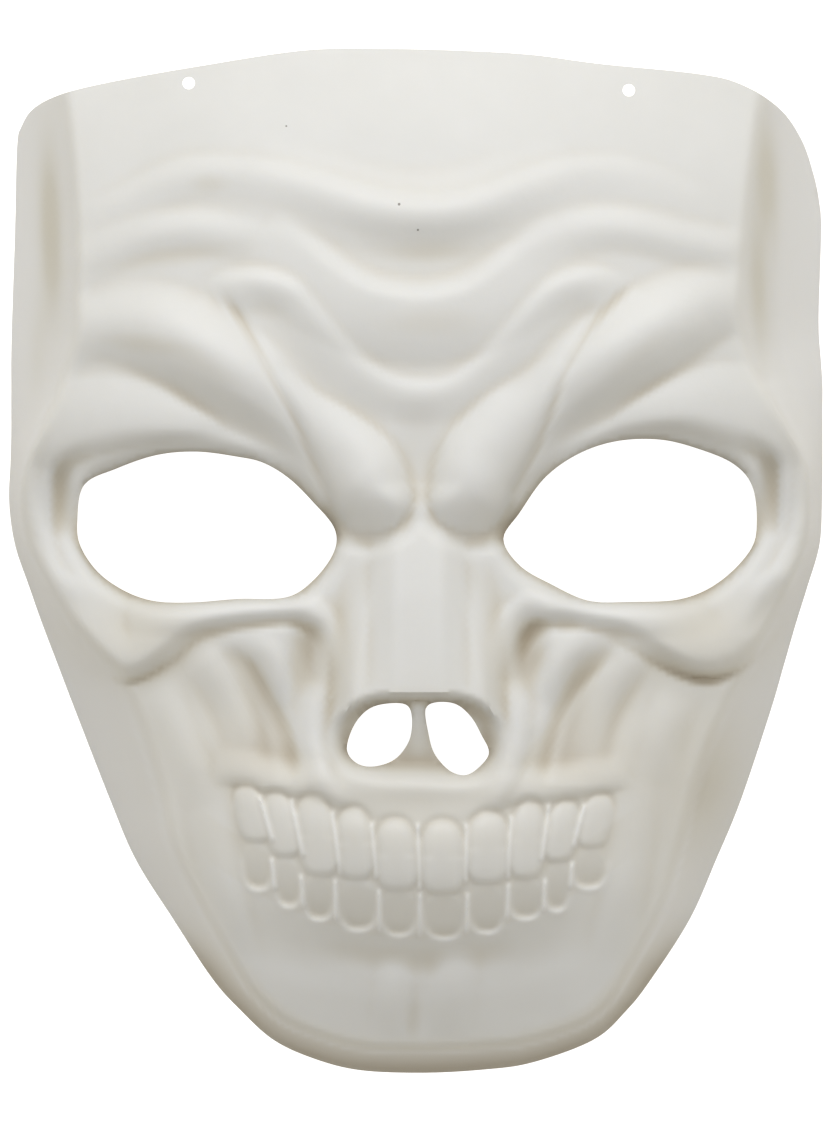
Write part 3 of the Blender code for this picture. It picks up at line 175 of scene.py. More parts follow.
# A fold rises by the third number at each point of its path. Its flanks reach as far as above to the left of
# somebody walking the path, and as far as below to the right, times the fourth number where there is one.
# A flank of power 2 runs out softly, as all do unless a row ends with other powers. One of power 1 ends in a
# crease, and one below 1 rolls over like a rounded edge.
Fold = namedtuple("Fold", "name above below path above_power below_power", defaults=(2.0, 2.0))
FOLDS = [Fold(*row) for row in (
    ("first forehead fold", 5, 8, (
        (-80, 79, 0), (-70, 83.5, 0.7), (-60, 89, 1.2), (-52, 91.6, 1.3), (-42, 91.4, 1.1),
        (-30, 89.6, 1.1), (-18, 86.2, 1.2), (-6, 83.2, 1.2), (6, 82.6, 1.2), (16, 84.6, 1.1),
        (26, 88.4, 1.1), (36, 91.2, 1), (46, 91.6, 0.8), (56, 89, 0.6), (64, 85.6, 0.4),
        (72, 83, 0))),
    ("swell of the first forehead fold", 11, 11, (
        (-42, 91, 0), (-26, 87.4, 1), (-12, 83.2, 2.4), (0, 81.6, 3), (11, 82.8, 2.6),
        (23, 86.6, 1.1), (38, 91, 0))),
    ("left end of the second forehead fold", 6, 6.5, (
        (-84, 67, 0), (-72, 73.6, 1.1), (-62, 77.2, 1.6), (-52, 78, 1.6), (-43, 76.8, 1),
        (-34, 75, 0.3), (-28, 73, 0))),
    ("right end of the second forehead fold", 6, 6.5, (
        (24, 73, 0), (33, 76.5, 0.8), (42, 78.4, 1.4), (52, 78, 1.6), (62, 75.6, 1.6),
        (71, 73.6, 1.4), (80, 72, 0))),
    ("middle of the second forehead fold", 6, 15, (
        (-36, 79, 0), (-27, 73, 1.4), (-19, 67, 2.2), (-11, 62.8, 2.8), (-3, 61.2, 3),
        (4, 61.2, 3), (11, 62.8, 2.8), (18, 66.6, 2.2), (25, 71.6, 1.3), (34, 78, 0)), 2, 1.1),
    ("third forehead fold", 4.5, 8, (
        (-48, 63, 0.2), (-43.5, 65, 1.6), (-37, 65.6, 2.2), (-31, 63.8, 1.9), (-26.5, 59.4, 1.3),
        (-19.5, 51, 1.2), (-12, 44, 1.4), (-5, 40.4, 1.6), (3, 39.6, 1.6), (9.5, 41.2, 1.5),
        (16, 46, 1.3), (22, 52, 1.2), (28, 59, 1.3), (33.5, 64, 1.8), (40, 66, 2),
        (48, 64.4, 0.3))),
    ("left brow", 12, 11.6, (
        (-89, 49, 0, 0.8), (-83, 53.2, 1, 0.75), (-76, 55.4, 2.3, 0.75), (-68, 56, 3.4, 0.9),
        (-60, 54.6, 5.2, 1), (-52, 51, 6.1, 1), (-45, 46.4, 6.1, 1), (-38, 41, 4.8, 1),
        (-31.6, 35, 2.6, 0.9), (-26, 28.5, 0.8, 0.8), (-22, 23, 0, 0.8)), 2, 1.3),
    ("right brow", 12, 11.6, (
        (22, 22, 0, 0.8), (27, 29.6, 0.8, 0.8), (32.6, 37, 2.6, 0.9), (38.6, 43.2, 4.8, 1),
        (45.6, 48.4, 6.1, 1), (53, 53.2, 6.1, 1), (60.6, 57.6, 5.2, 0.95), (68, 60.8, 3.4, 0.85),
        (75, 61.6, 1.9, 0.75), (81, 60.4, 0.7, 0.7), (87, 58, 0, 0.7)), 2, 1.3),
    ("left lobe between the brows", 9.6, 9.6, (
        (-32.5, 44.5, 0, 0.30), (-26.4, 37.4, 1.3, 0.45), (-20.4, 30.8, 3.2, 0.72),
        (-15.2, 24.8, 5.2, 0.94), (-12, 20.2, 6.6, 1), (-10.6, 15.8, 6.8, 1)), 0.85, 0.85),
    ("right lobe between the brows", 9.6, 9.6, (
        (12.4, 15.8, 6.8, 1), (13.4, 20.6, 6.6, 1.02), (16.4, 26, 5.2, 1.04),
        (22, 33.6, 3.2, 0.86), (27.6, 40, 1.3, 0.6), (34.5, 47.5, 0, 0.35)), 0.85, 0.85),
    ("left eyelid", 14, 5.2, (
        (-92, 25, 0, 0.7), (-86, 27.4, 1.4, 0.9), (-78, 29.8, 2.7, 1), (-70, 31.4, 3.1, 0.95),
        (-62, 31.8, 2.7, 0.75), (-54, 31.2, 1.5, 0.45), (-46, 30, 0, 0.25)), 1.1, 0.9),
    ("right eyelid", 14, 5.2, (
        (46, 31.5, 0, 0.25), (54, 33.6, 1.5, 0.45), (62, 34.6, 2.7, 0.72), (70, 33.8, 3.1, 0.98),
        (78, 31.4, 2.7, 1), (85, 28.2, 1.4, 0.9), (91, 25, 0, 0.7)), 1.1, 0.9),
    ("left outer eye pillar", 4, 4.5, (
        (-86.5, 36, 0), (-89.5, 30, 1.3), (-92, 24, 1.3), (-91, 16, 1.4), (-88.5, 6, 2.2),
        (-85, -3, 1.6), (-77, -9, 0))),
    ("right outer eye pillar", 4, 4.5, (
        (77, -9, 0), (85.5, -2.5, 1.6), (89.5, 6, 2.2), (91.2, 16, 1.4), (92.4, 24, 1.3),
        (89, 31, 1.3), (84.5, 38, 0))),
    ("left lower eye rim", 4.5, 4.2, (
        (-72, -10, 0), (-60, -12.6, 0.8), (-50, -11.9, 1.5), (-40, -10.6, 1.9), (-32, -9.9, 2),
        (-26, -10.6, 1.9), (-21.6, -14.4, 1.4), (-20.5, -20.5, 0.9), (-21, -27, 0)), 2, 0.85),
    ("right lower eye rim", 4.5, 4.2, (
        (20.5, -27, 0), (20.2, -20.5, 0.9), (21.6, -14.2, 1.4), (26, -10.2, 1.9), (32, -10.2, 2),
        (40, -11.2, 1.9), (48, -12.2, 1.5), (58, -12.8, 0.8), (70, -10.5, 0)), 2, 0.85),
    ("left cheekbone", 14, 5.2, (
        (-94, 3, 0.4), (-88.5, -4.2, 2.4), (-82, -12, 3.8), (-75.2, -19.6, 4.8), (-68, -22.8, 5),
        (-61.6, -19.8, 4.3), (-54, -14, 2.7), (-45, -11.4, 1.2), (-34, -10.9, 0)), 2, 0.75),
    ("right cheekbone", 14, 5.6, (
        (36, -11.6, 0), (45, -12.2, 1.4), (53, -15.4, 3.2), (60, -19.6, 4.8), (67.5, -21.6, 5.4),
        (74.5, -19.4, 5), (81, -12.6, 4), (87, -4.9, 2.6), (93, 2, 0.5)), 2, 0.75),
    ("left first cheek fold", 5, 6.5, (
        (-52, -19, 0.2), (-47.5, -25.5, 1.4), (-43.5, -32, 1.8), (-40.5, -39, 1.5),
        (-39.5, -46, 0.5), (-39, -51, 0))),
    ("left second cheek fold", 5.5, 6.5, (
        (-61, -27, 0), (-58.5, -34, 1), (-55.5, -41, 1.2), (-52.5, -49, 0.9), (-51, -57, 0))),
    ("right first cheek fold", 6.5, 5, (
        (40, -51, 0), (40.5, -42, 1.2), (43, -34, 1.7), (47.5, -26.5, 1.8), (53, -19, 0.3))),
    ("right second cheek fold", 6.5, 5.5, (
        (57, -52, 0), (57.5, -43, 1), (59.5, -36, 1.2), (62.5, -29, 0.2))),
    ("right inner cheek fold", 5.5, 4, (
        (30, -33, 0), (32, -27, 1), (36.5, -20.5, 1.4), (42, -17.5, 0.2))),
    ("left inner cheek fold", 4, 5.5, (
        (-41, -18.5, 0.2), (-35, -20.5, 1), (-32, -27, 0.9), (-30.5, -34, 0))),
    ("left side of the nose opening", 3.6, 5, (
        (-23, -28, 0), (-24.6, -34, 1.2), (-24.6, -41, 1.7), (-22.8, -47.5, 1.7),
        (-19.5, -54, 0.9), (-17, -58, 0))),
    ("right side of the nose opening", 5, 3.6, (
        (16.5, -58, 0), (19, -54, 0.9), (22.2, -47, 1.7), (23.8, -40, 1.7), (23.6, -33, 1.2),
        (22.4, -27, 0))),
    ("left corner of the mouth", 6, 7, (
        (-48.5, -50, 0.2), (-47.5, -64, 1.4), (-45, -78, 1.8), (-41, -93, 0.2))),
    ("right corner of the mouth", 7, 6, (
        (45.5, -94, 0.2), (48.5, -79, 1.8), (50.5, -65, 1.4), (51, -50, 0.2))),
    ("left mound of the chin", 5.5, 5.5, (
        (-5.6, -91, 0), (-5.4, -97, 0.9), (-6, -104, 0.8), (-7, -111, 0))),
    ("right mound of the chin", 6.5, 6.5, (
        (8.6, -89, 0), (8.8, -95, 1.1), (8, -103, 0.9), (8, -111, 0))),
    ("left jaw edge", 7, 3, (
        (-62, -62, 0), (-59.5, -72, 0.9), (-54.5, -81, 1.1), (-50, -89, 0.9), (-44, -97, 0))),
    ("left gum above the teeth", 6.5, 3.4, (
        (-48, -47.8, 0), (-43, -48.9, 1.2), (-37, -49.8, 1.6), (-31, -51.2, 1.6), (-25, -51.8, 1.6),
        (-19, -53.4, 1.3), (-13, -55.4, 0.8), (-7, -57, 0.3), (-2, -58, 0)), 2, 0.8),
    ("right gum above the teeth", 6.5, 3.4, (
        (3, -58, 0), (9, -57, 0.3), (15, -55.8, 0.8), (20, -54, 1.3), (26, -52.8, 1.6),
        (33, -52.4, 1.6), (39, -51.4, 1.6), (45, -50.4, 1.2), (50, -48.8, 0)), 2, 0.8),
)]

# Grooves are folds that sink
GROOVES = [Fold(*row) for row in (
    ("left crease beside the brow", 1.4, 1.4, (
        (-46.5, 65, 0), (-42, 58, -0.8), (-37.4, 50, -0.9), (-33.6, 42.5, -0.8), (-29.6, 36, -0.7),
        (-26.4, 29, -0.7), (-23, 21.5, -0.4), (-20, 14, 0)), 1, 1),
    ("right crease beside the brow", 1.4, 1.4, (
        (51.5, 66, 0), (45.6, 60.4, -0.8), (39.8, 53.4, -0.9), (34.6, 44.6, -0.8), (31.4, 36, -0.8),
        (28.6, 29, -0.7), (25, 21.5, -0.4), (21.6, 14, 0)), 1, 1),
    ("left line under the eye", 2.2, 2.2, (
        (-90, -4, 0), (-84.4, -10, -0.8), (-79, -17, -1), (-72.4, -24, -1.2), (-68.4, -27.4, -1.4),
        (-62.4, -24.6, -1), (-57, -20, -0.9), (-51.6, -16.8, -0.9), (-45, -15, -1),
        (-37, -13.9, -1.1), (-30, -13.5, -1.1), (-24.6, -15.4, -0.9), (-21.8, -20, -0.6),
        (-21.4, -27, 0)), 1, 1),
    ("right line under the eye", 2.6, 2.6, (
        (22.5, -27, 0), (23.4, -21.6, -0.6), (26, -17.2, -0.9), (30.4, -14.6, -1.1), (37, -14, -1.1),
        (44, -15.2, -1), (50, -17.4, -0.9), (55, -20.6, -1.2), (60.4, -24.4, -1.9), (67, -26.8, -2),
        (73.4, -25.4, -1.4), (80, -20, -1), (84.6, -14, -1.1), (87.4, -8, -1.2), (90, -2, 0)), 1, 1),
    ("right end of the cheekbone", 5, 4, (
        (78, -18, 0), (81.6, -13.6, -1.6), (84.6, -9.4, -1.6), (87, -4, 0))),
    ("right jaw crease", 2.4, 2.4, (
        (70.5, -36, 0), (69, -43, -0.8), (66.6, -52, -0.9), (64, -61, -0.8), (60.4, -70, -0.5),
        (56, -80, 0)), 1, 1),
    ("dent under the middle teeth", 8, 6, (
        (-24, -88, 0), (-14, -90.4, -0.8), (0, -92.4, -0.9), (14, -91, -0.8), (24, -88.4, 0))),
    ("cleft of the chin", 3.4, 3.4, (
        (0, -97, 0), (-0.6, -102, -0.3), (-1, -108, -0.6), (-1.2, -115, 0))),
    ("left sunken cheek", 16, 13, (
        (-48, -22, 0), (-42, -30, -2.2), (-37, -38, -2.8), (-34, -45, -1.8), (-33, -52, 0))),
    ("right sunken cheek", 13, 16, (
        (49, -22, 0), (43.5, -30, -2.2), (39, -38, -2.8), (36, -45, -1.8), (35, -52, 0))),
    ("left cheek crease", 2.4, 4, (
        (-46, -19, 0), (-40, -23, -0.8), (-36, -28.5, -1.1), (-32.5, -35.5, -1.1),
        (-30, -42, -0.9), (-29, -50, -0.6), (-29.5, -56, 0))),
    ("right cheek crease", 4, 2.4, (
        (30, -56, 0), (29.5, -50, -0.7), (31, -42, -1), (34, -34, -1.1),
        (39, -27, -1), (47, -20, 0))),
    ("left inner eye hollow", 4.5, 6, (
        (-19, 3, 0), (-22, 10, -1.2), (-27, 19, -1.8), (-33, 26.5, -1.9), (-41, 32.6, -1.5),
        (-50, 37.5, -0.8), (-60, 42, 0))),
    ("right inner eye hollow", 6, 4.5, (
        (19.5, 2, 0), (22.6, 9, -1.2), (27.4, 19, -1.8), (34, 28, -1.9), (42, 34.6, -1.5),
        (51, 40.6, -0.8), (60, 45, 0))),
    ("hollow above the nose", 7.5, 7.5, (
        (0.4, 38, 0), (0.4, 34, -0.5), (0.4, 28, -1), (0.4, 23, -0.9), (0.4, 18, 0))),
    ("hollow at the foot of the left lobe", 12, 5, (
        (-24, 13, 0), (-18.4, 8, -2.6), (-11, 6.2, -3), (-4, 9, -1.6), (-1, 13, 0))),
    ("hollow at the foot of the right lobe", 12, 5, (
        (2.4, 13, 0), (5.6, 9.4, -1.6), (13, 6.2, -3), (19.4, 8, -2.6), (24, 14, 0))),
    ("left hollow beside the nose", 5.5, 6.5, (
        (-25, -13, 0), (-25.6, -18, -2), (-26.4, -25, -2.2), (-27.6, -33, -1.2), (-29, -41, 0))),
    ("right hollow beside the nose", 6.5, 5.5, (
        (24, -7, 0), (25.6, -13, -1.8), (26.2, -20, -2.4), (26.6, -27, -1.8), (28, -38, 0))),
    ("left hollow beside the eye", 4.6, 3.2, (
        (-75, 25, 0), (-80, 23.2, -2), (-82.8, 20.4, -4), (-83.2, 15, -3.8), (-82.9, 9.5, -2.6),
        (-82, 5, -0.8), (-81, 1, 0)), 2, 1),
    ("right hollow beside the eye", 3.2, 4.6, (
        (75, 27.5, 0), (79.6, 25.4, -2), (82.2, 22.4, -4.2), (82.6, 16, -4), (82.4, 9.5, -2.6),
        (81.8, 5, -0.8), (81, 1, 0)), 1, 2),
    ("upper lip hollow", 5, 6, (
        (-30, -47, 0), (-24, -53, 0), (-12, -56.5, -0.5), (0, -57, -0.4), (12, -56.5, -0.5),
        (24, -53, 0), (30, -47, 0))),
    ("hollow under the lower lip", 8, 9, (
        (-42, -84, 0), (-24, -91, -1), (0, -94, -1.2), (24, -91, -1), (42, -84, 0))),
)]

# Ridges that run from the face over its crease on to the side walls
RIDGES = [Fold(*row) for row in (
    ("left temple ridge", 2.3, 1.8, (
        (-82.6, 48, 0), (-84.2, 42.5, 0.7), (-86.8, 36, 1.3), (-90.6, 29.6, 1.6), (-93.2, 25, 1.2),
        (-94.8, 20, 0)), 1.6, 0.9),
    ("right temple ridge", 1.8, 2.3, (
        (94.2, 16, 0), (93.2, 23, 1), (91.2, 30.4, 1.6), (87.8, 36.4, 1.3), (85, 42, 0.7),
        (83.2, 48, 0)), 0.9, 1.6),
    ("left streak down the wall", 2, 2, (
        (-86, 96, 0), (-86.4, 84, 0.4), (-85.6, 70, 0.4), (-86.6, 56, 0))),
    ("right streak down the wall", 2, 2, (
        (84, 56, 0), (82.6, 70, 0.4), (83.6, 84, 0.4), (82.8, 98, 0))),
)]

# Nose: height above the face, half widths of its top and of its foot, and the height of its middle strip
Nose = namedtuple("Nose", "y rise top foot strip")
NOSE = [Nose(*row) for row in (
    (19, 0, 3, 12, 0),
    (12, 1, 5, 15, 1.6),
    (3, 2, 7, 16.5, 3.2),
    (-6, 2.9, 10, 18, 4),
    (-15, 4.2, 12.5, 19.5, 3.7),
    (-23, 5.6, 14, 20.5, 2.9),
    (-31, 6.8, 14.5, 20.5, 2.1),
    (-38, 6.6, 14.5, 20.5, 1.4),
    (-46, 4, 12, 20, 0.6),
    (-53, 1.4, 9, 19, 0),
    (-59, 0, 8, 18, 0),
    (-66, 0, 8, 18, 0),
)]
NOSE_MIDDLE = 0.3
STRIP_HALF = 5.2
STRIP_FOOT = 11.4

# The tip of the nose: its line, how far it droops at the sides, and how much of the nose goes on below it
NOSE_TIP_Y = -31.5
NOSE_TIP_DROOP = 2.5
NOSE_TIP_HALF = 15.0
NOSE_TIP_WIDTH = 1.0
NOSE_BELOW_TIP = 0.35

# The hollow of the nose under its tip, with the septum between the two openings
CAVITY = (
    (-9, -31.3), (-14, -32.6), (-18, -36), (-20.6, -41), (-20, -46.5), (-15.6, -50.6),
    (-8, -52.6), (1, -53), (9, -53.4), (15.6, -52), (20, -47.5), (20.8, -41.5),
    (18, -35.4), (13.6, -32.2), (7, -31), (0, -30.9), (-5, -31),
)
CAVITY_TOP_Y = -30.0
CAVITY_LOW_Y = -49.0
CAVITY_TOP_SLOPE = 2.0
CAVITY_LOW_SLOPE = 7.4
CAVITY_TOP_DEPTH = 2.0
CAVITY_LOW_DEPTH = 5.4
SEPTUM_RISE = 2.6
SEPTUM_HALF = 3.2
SEPTUM_TOP_Y = -32.0

# Mouth: the bulge that carries the teeth
MOUTH_CENTRE = (0.5, -70)
MOUTH_HALF = (54, 34)
MOUTH_RISE = 4.2

# Teeth: left and right edge, top and bottom, and how far the top leans to the right of the bottom
Tooth = namedtuple("Tooth", "left right top bottom lean rise")
UPPER_TEETH = [Tooth(*row) for row in (
    (-42.6, -34.9, -52.4, -65.4, -2.9, 1.3),
    (-35.7, -27.9, -54, -68.9, -2.6, 1.5),
    (-28.2, -18.7, -54.8, -73.3, -2.4, 1.7),
    (-19, -10.2, -57.6, -74.1, -1, 1.8),
    (-9.9, 0.2, -60.2, -76.7, -0.8, 1.9),
    (0.6, 11.4, -60.6, -77.4, -0.2, 2),
    (11.5, 21.6, -58.6, -75.1, 0.4, 1.9),
    (21.6, 30, -56.1, -74.1, 1, 1.7),
    (30, 37.8, -56, -70, 2.2, 1.5),
    (37.9, 45.6, -54.4, -66.8, 2.4, 1.2),
)]
LOWER_TEETH = [Tooth(*row) for row in (
    (-40.9, -33.8, -65.2, -76.8, -0.8, 1.3),
    (-33.4, -27.1, -68.6, -80.8, -0.8, 1.5),
    (-26.6, -19.4, -72.6, -83.8, -0.4, 1.8),
    (-18.6, -9, -73.6, -86.4, -0.2, 2),
    (-8.6, 0.2, -76, -87.6, 0, 2),
    (1.2, 11.5, -76.8, -88.3, 0, 2),
    (11.9, 20.9, -74.6, -87, 0.3, 2),
    (21.5, 29.6, -73.6, -83.6, 0.4, 1.7),
    (29.9, 35.8, -69.6, -81.8, 0.4, 1.5),
    (36.3, 44.6, -66.4, -76.4, 0.6, 1.3),
)]

# How round the teeth are drawn: 2 is an ellipse and larger numbers are squarer
UPPER_TOOTH_ROUND = 2.4
LOWER_TOOTH_ROUND = 2.5

# Half width of the face and how quickly its sides fall away
FACE_HALF = 82.0
FACE_FALL = 2.3

Patch = namedtuple("Patch", "x y half_x half_y turn depth")
Speck = namedtuple("Speck", "x y radius")

# Painted shade: brown streaks and shades laid on the sheet where the face falls dark, and painted light
# where the depth is below 0
SHADE_AND_LIGHT_PATCHES = [Patch(*row) for row in (
    (-86, 78, 2.8, 20, 2, 0.36),
    (-89, 50, 2.4, 13, -3, 0.12),
    (82, 90, 3, 15, 3, 0.30),
    (80, 64, 2.8, 17, 3, 0.26),
    (-63, 51, 10, 2.2, -8, 0.30),
    (-48, 45, 8, 2.2, -30, 0.16),
    (52, 49, 10, 2.4, 35, 0.16),
    (-57, 71.5, 17, 2.4, 8, 0.26),
    (-48.5, 88.5, 4.5, 2.2, 0, 0.26),
    (3, 72.5, 10, 2.8, 0, 0.26),
    (3, 56, 12, 3.6, 0, 0.22),
    (-40, -36, 17, 14, 0, 0.16),
    (41, -36, 17, 14, 0, 0.16),
    (-28, -37, 5, 10, 20, -0.45),
    (28, -37, 5, 10, -20, -0.45),
    (-11, 8.5, 6, 4.5, 0, -0.9),
    (11.5, 8.5, 6, 4.5, 0, -0.9),
    (-64, -16, 15, 9, -15, 0.34),
    (66, -16, 15, 9, 15, 0.34),
    (66, -52, 11, 18, -15, 0.22),
    (-20, -20, 7, 8, 0, 0.26),
    (21, -20, 7, 8, 0, 0.26),
    (0, -55, 40, 4.5, 0, 0.18),
    (-36, -46, 15, 7, 0, 0.28),
    (36, -46, 15, 7, 0, 0.28),
    (0, -64, 38, 5, 0, 0.16),
    (0.8, 33, 8, 10, 0, -1.2),
)]

SPECKS = [Speck(*row) for row in (
    (-4.2, 83.6, 0.32),
    (0.2, 77.6, 0.26),
    (-30.6, 102, 0.22),
)]

# The painted shade of the hollows fades above the eyes, and the lower face gets painted shade all over
FOREHEAD_SHADE_LOSS = 0.7
FOREHEAD_SHADE_Y = 2.0
FOREHEAD_SHADE_RUN = 22.0
LOW_SHADE = 0.14
LOW_SHADE_TOP = (-10.0, 30.0)
LOW_SHADE_END = (-104.0, 28.0)

# Shade of the chin's edge, and of the lower row of teeth below the upper one
CHIN_RIM_WIDTH = 9.0
CHIN_RIM_TOP = -78.0
CHIN_RIM_RUN = 20.0
CHIN_RIM_SHADE = 0.9
LOWER_TEETH_TOP = -76.5
LOWER_TEETH_SMILE = 0.0076
LOWER_TEETH_HIGH = 12.0
LOWER_TEETH_SHADE = 0.10

# Widths over which the sheet counts as sunken or pressed out for its painted shade and painted highlights,
# each with the depth that counts in full
DEEP = (4.0, 6.0)
WIDE = (12.0, 12.0)
FINE = (1.4, 0.5)
STEEP = (1.6, 0.3, 1.6)
WALL_DROP = 8.0
# How much painted light the side walls get, and the painted shade patch depth at which it is gone
WALL_PALE = 3.2
WALL_PALE_LIMIT = 0.25
PALE_LIMIT = 1.5
TOOTH_CREASE_LOSS = 0.8

# Stretched ridges in the gaps between the teeth
SEAM_RISE = 0.8
SEAM_HALF = 0.5
SEAM_END = 1.5

# Colours of the plastic, of its painted shade and painted highlights, and of its specks
WHITE = (1.0, 1.0, 1.0, 1.0)
SHEET_COLOURS = ((0.80, 0.797, 0.770, 1.0), (0.835, 0.832, 0.808, 1.0))
# ramp of painted shade for the hollows, the lower face, the chin's edge and the lower teeth
PAINTED_SHADE_STOPS = ((0.04, WHITE), (0.35, (0.92, 0.895, 0.84, 1.0)), (0.85, (0.68, 0.62, 0.53, 1.0)))
# painted shade in creases and on steep stretches
PAINTED_SHADE_FIELDS = (("crease", (0.84, 0.79, 0.70, 1.0)), ("steep", (0.985, 0.97, 0.925, 1.0)))
# painted highlights on crests, pale walls and patches, and the ridges between the teeth
PAINTED_LIGHT_FIELDS = (("painted_light", 0.3, (0.90, 0.895, 0.875, 1.0)), ("seam", 0.7, (0.93, 0.925, 0.90, 1.0)))
SPECK_COLOUR = (0.30, 0.28, 0.25, 1.0)
THROUGH_COLOUR = (0.86, 0.83, 0.76, 1.0)
THROUGH_SHARE = 0.06
SHARP_ANGLE = 60.0

# Camera, floor and light
CAMERA_HEIGHT = 8.0
FRAME_HEIGHT = 0.26447
FILM = 36.0
FLOOR_SIZE = 4.0
FLOOR_DROP = 0.0004
FLOOR_GLOW = 0.05
FLOOR_COLOUR = (0.78, 0.75, 0.68, 1.0)
WORLD_LIGHT = 0.80
WORLD_LOW = (0.50, 0.48, 0.435, 1.0)
WORLD_FADE = (-0.9, 0.3)
LAMP_PLACE = (0.0, 1.9, 1.5)
LAMP_AIM = (0.0, 0.0, 0.04)
LAMP_SIZE = 1.6
LAMP_POWER = 19.0


def smooth_step(value):
    """From 0 to 1 without a kink at either end."""
    value = np.clip(value, 0.0, 1.0)
    return value * value * (3.0 - 2.0 * value)


def smooth_low(first, second, blend):
    """The lower of two heights, rounded over a width where they meet."""
    mix = np.clip(0.5 + 0.5 * (second - first) / blend, 0.0, 1.0)
    return second + (first - second) * mix - blend * mix * (1.0 - mix)


def curve_through(points, step, closed=False):
    """Smooth curve through given points, as rows about one step apart."""
    points = np.asarray(points, dtype=float)
    count = len(points)
    rows = []
    for index in range(count if closed else count - 1):
        if closed:
            before, start, end, after = (points[(index + shift) % count] for shift in (-1, 0, 1, 2))
        else:
            start, end = points[index], points[index + 1]
            before = points[index - 1] if index else 2.0 * start - end
            after = points[index + 2] if index + 2 < count else 2.0 * end - start
        pieces = max(1, round(float(np.linalg.norm((end - start)[:2])) / step))
        for piece in range(pieces):
            t = piece / pieces
            rows.append(0.5 * (2.0 * start + (end - before) * t
                               + (2.0 * before - 5.0 * start + 4.0 * end - after) * t * t
                               + (3.0 * start - before - 3.0 * end + after) * t ** 3))
    if not closed:
        rows.append(points[-1])
    return np.array(rows)


def nearest_on(path, x, y, closed=False):
    """Distance to a path, the side (+1 on its left), and the path's other columns there."""
    best = np.full(x.shape, 1e9)
    side = np.ones(x.shape)
    extra = np.zeros(x.shape + (path.shape[1] - 2,))
    count = len(path)
    for index in range(count if closed else count - 1):
        start = path[index]
        end = path[(index + 1) % count]
        step_x, step_y = end[0] - start[0], end[1] - start[1]
        length = step_x * step_x + step_y * step_y
        along = np.clip(((x - start[0]) * step_x + (y - start[1]) * step_y) / length, 0.0, 1.0)
        gap_x = x - start[0] - along * step_x
        gap_y = y - start[1] - along * step_y
        gap = gap_x * gap_x + gap_y * gap_y
        near = gap < best
        best[near] = gap[near]
        side[near] = np.where(step_x * gap_y - step_y * gap_x >= 0.0, 1.0, -1.0)[near]
        if extra.shape[-1]:
            extra[near] = (start[2:] + along[..., None] * (end[2:] - start[2:]))[near]
    return np.sqrt(best), side, extra


def inside(loop, x, y):
    """True where a point lies inside a closed loop."""
    hits = np.zeros(x.shape, dtype=bool)
    for index in range(len(loop)):
        start = loop[index]
        end = loop[(index + 1) % len(loop)]
        crosses = (start[1] > y) != (end[1] > y)
        if start[1] != end[1]:
            at_x = start[0] + (y - start[1]) * (end[0] - start[0]) / (end[1] - start[1])
            hits ^= crosses & (x < at_x)
    return hits


def fold_height(fold, x, y):
    """How much a fold or groove lifts the face at each point."""
    path = curve_through(fold.path, 1.5)
    reach = max(fold.above, fold.below)
    near = ((x > path[:, 0].min() - reach) & (x < path[:, 0].max() + reach)
            & (y > path[:, 1].min() - reach) & (y < path[:, 1].max() + reach))
    height = np.zeros(x.shape)
    if not near.any():
        return height
    gap, side, extra = nearest_on(path, x[near], y[near])
    width = np.where(side > 0.0, fold.above, fold.below)
    if extra.shape[-1] > 1:
        width = width * extra[:, 1]
    share = np.minimum(gap / width, 1.0)
    power = np.where(side > 0.0, fold.above_power, fold.below_power)
    height[near] = extra[:, 0] * (1.0 - share * share) ** power
    return height


def column(rows, name, at):
    """One column of a table, read as a smooth curve over its first column."""
    curve = curve_through([(row[0], getattr(row, name)) for row in sorted(rows)], 1.0)
    return np.interp(at, curve[:, 0], curve[:, 1])


def table_edge():
    """The line on which the walls stand, open at the top, with the crease distance third."""
    left = [(row.left, row.y, row.left_crease) for row in SIDES]
    right = [(row.right, row.y, row.right_crease) for row in reversed(SIDES)]
    chin = [(row.x, row.y, row.crease) for row in CHIN]
    return curve_through(left + chin + right, 3.0)


def tooth_field(tooth, x, y, power):
    """How far a point lies from the middle of a tooth (1 at its edge), and its shares up and across."""
    centre = 0.5 * (tooth.left + tooth.right)
    along = (y - tooth.bottom) / (tooth.top - tooth.bottom)
    shift = tooth.lean * (along - 0.5)
    across = np.abs(x - centre - shift) / (0.5 * (tooth.right - tooth.left))
    radius = (across ** power + np.abs(2.0 * along - 1.0) ** power) ** (1.0 / power)
    return radius, along, across


def upper_tooth(tooth, x, y):
    """A tooth that domes out of the gum and rolls back over its lower edge."""
    dome, along, across = tooth_field(tooth, x, y, UPPER_TOOTH_ROUND)
    top = np.clip(1.0 - dome ** 2.2, 0.0, 1.0) ** 0.7
    block, along, across = tooth_field(tooth, x, y, 3.0)
    roll = 1.0 - 0.30 * np.clip(1.0 - 2.0 * along, 0.0, 1.0) ** 4
    low = np.clip(1.0 - across ** 3.2, 0.0, 1.0) ** 0.7 * roll * (1.0 - smooth_step((block - 0.92) / 0.12))
    return tooth.rise * np.where(along > 0.5, top, low)


def gum_crease(tooth, x, y):
    """Narrow crease where the gum meets the arched top of an upper tooth."""
    dome, along, across = tooth_field(tooth, x, y, UPPER_TOOTH_ROUND)
    return -0.55 * np.exp(-((dome - 1.05) / 0.10) ** 2) * smooth_step((along - 0.55) / 0.25)


def lower_tooth(tooth, x, y):
    """A tooth that leans back towards its root, in a raised edge of gum."""
    block, along, across = tooth_field(tooth, x, y, LOWER_TOOTH_ROUND)
    within = 1.0 - smooth_step((block - 0.80) / 0.20)
    low = np.clip(1.0 - along, 0.0, 1.0)
    lean = tooth.rise * (1.15 * low ** 1.5 - 0.25) * (1.0 - across ** 3)
    edge = 0.45 * np.exp(-((block - 1.04) / 0.10) ** 2) * smooth_step((0.75 - along) / 0.3)
    return edge - lean * within


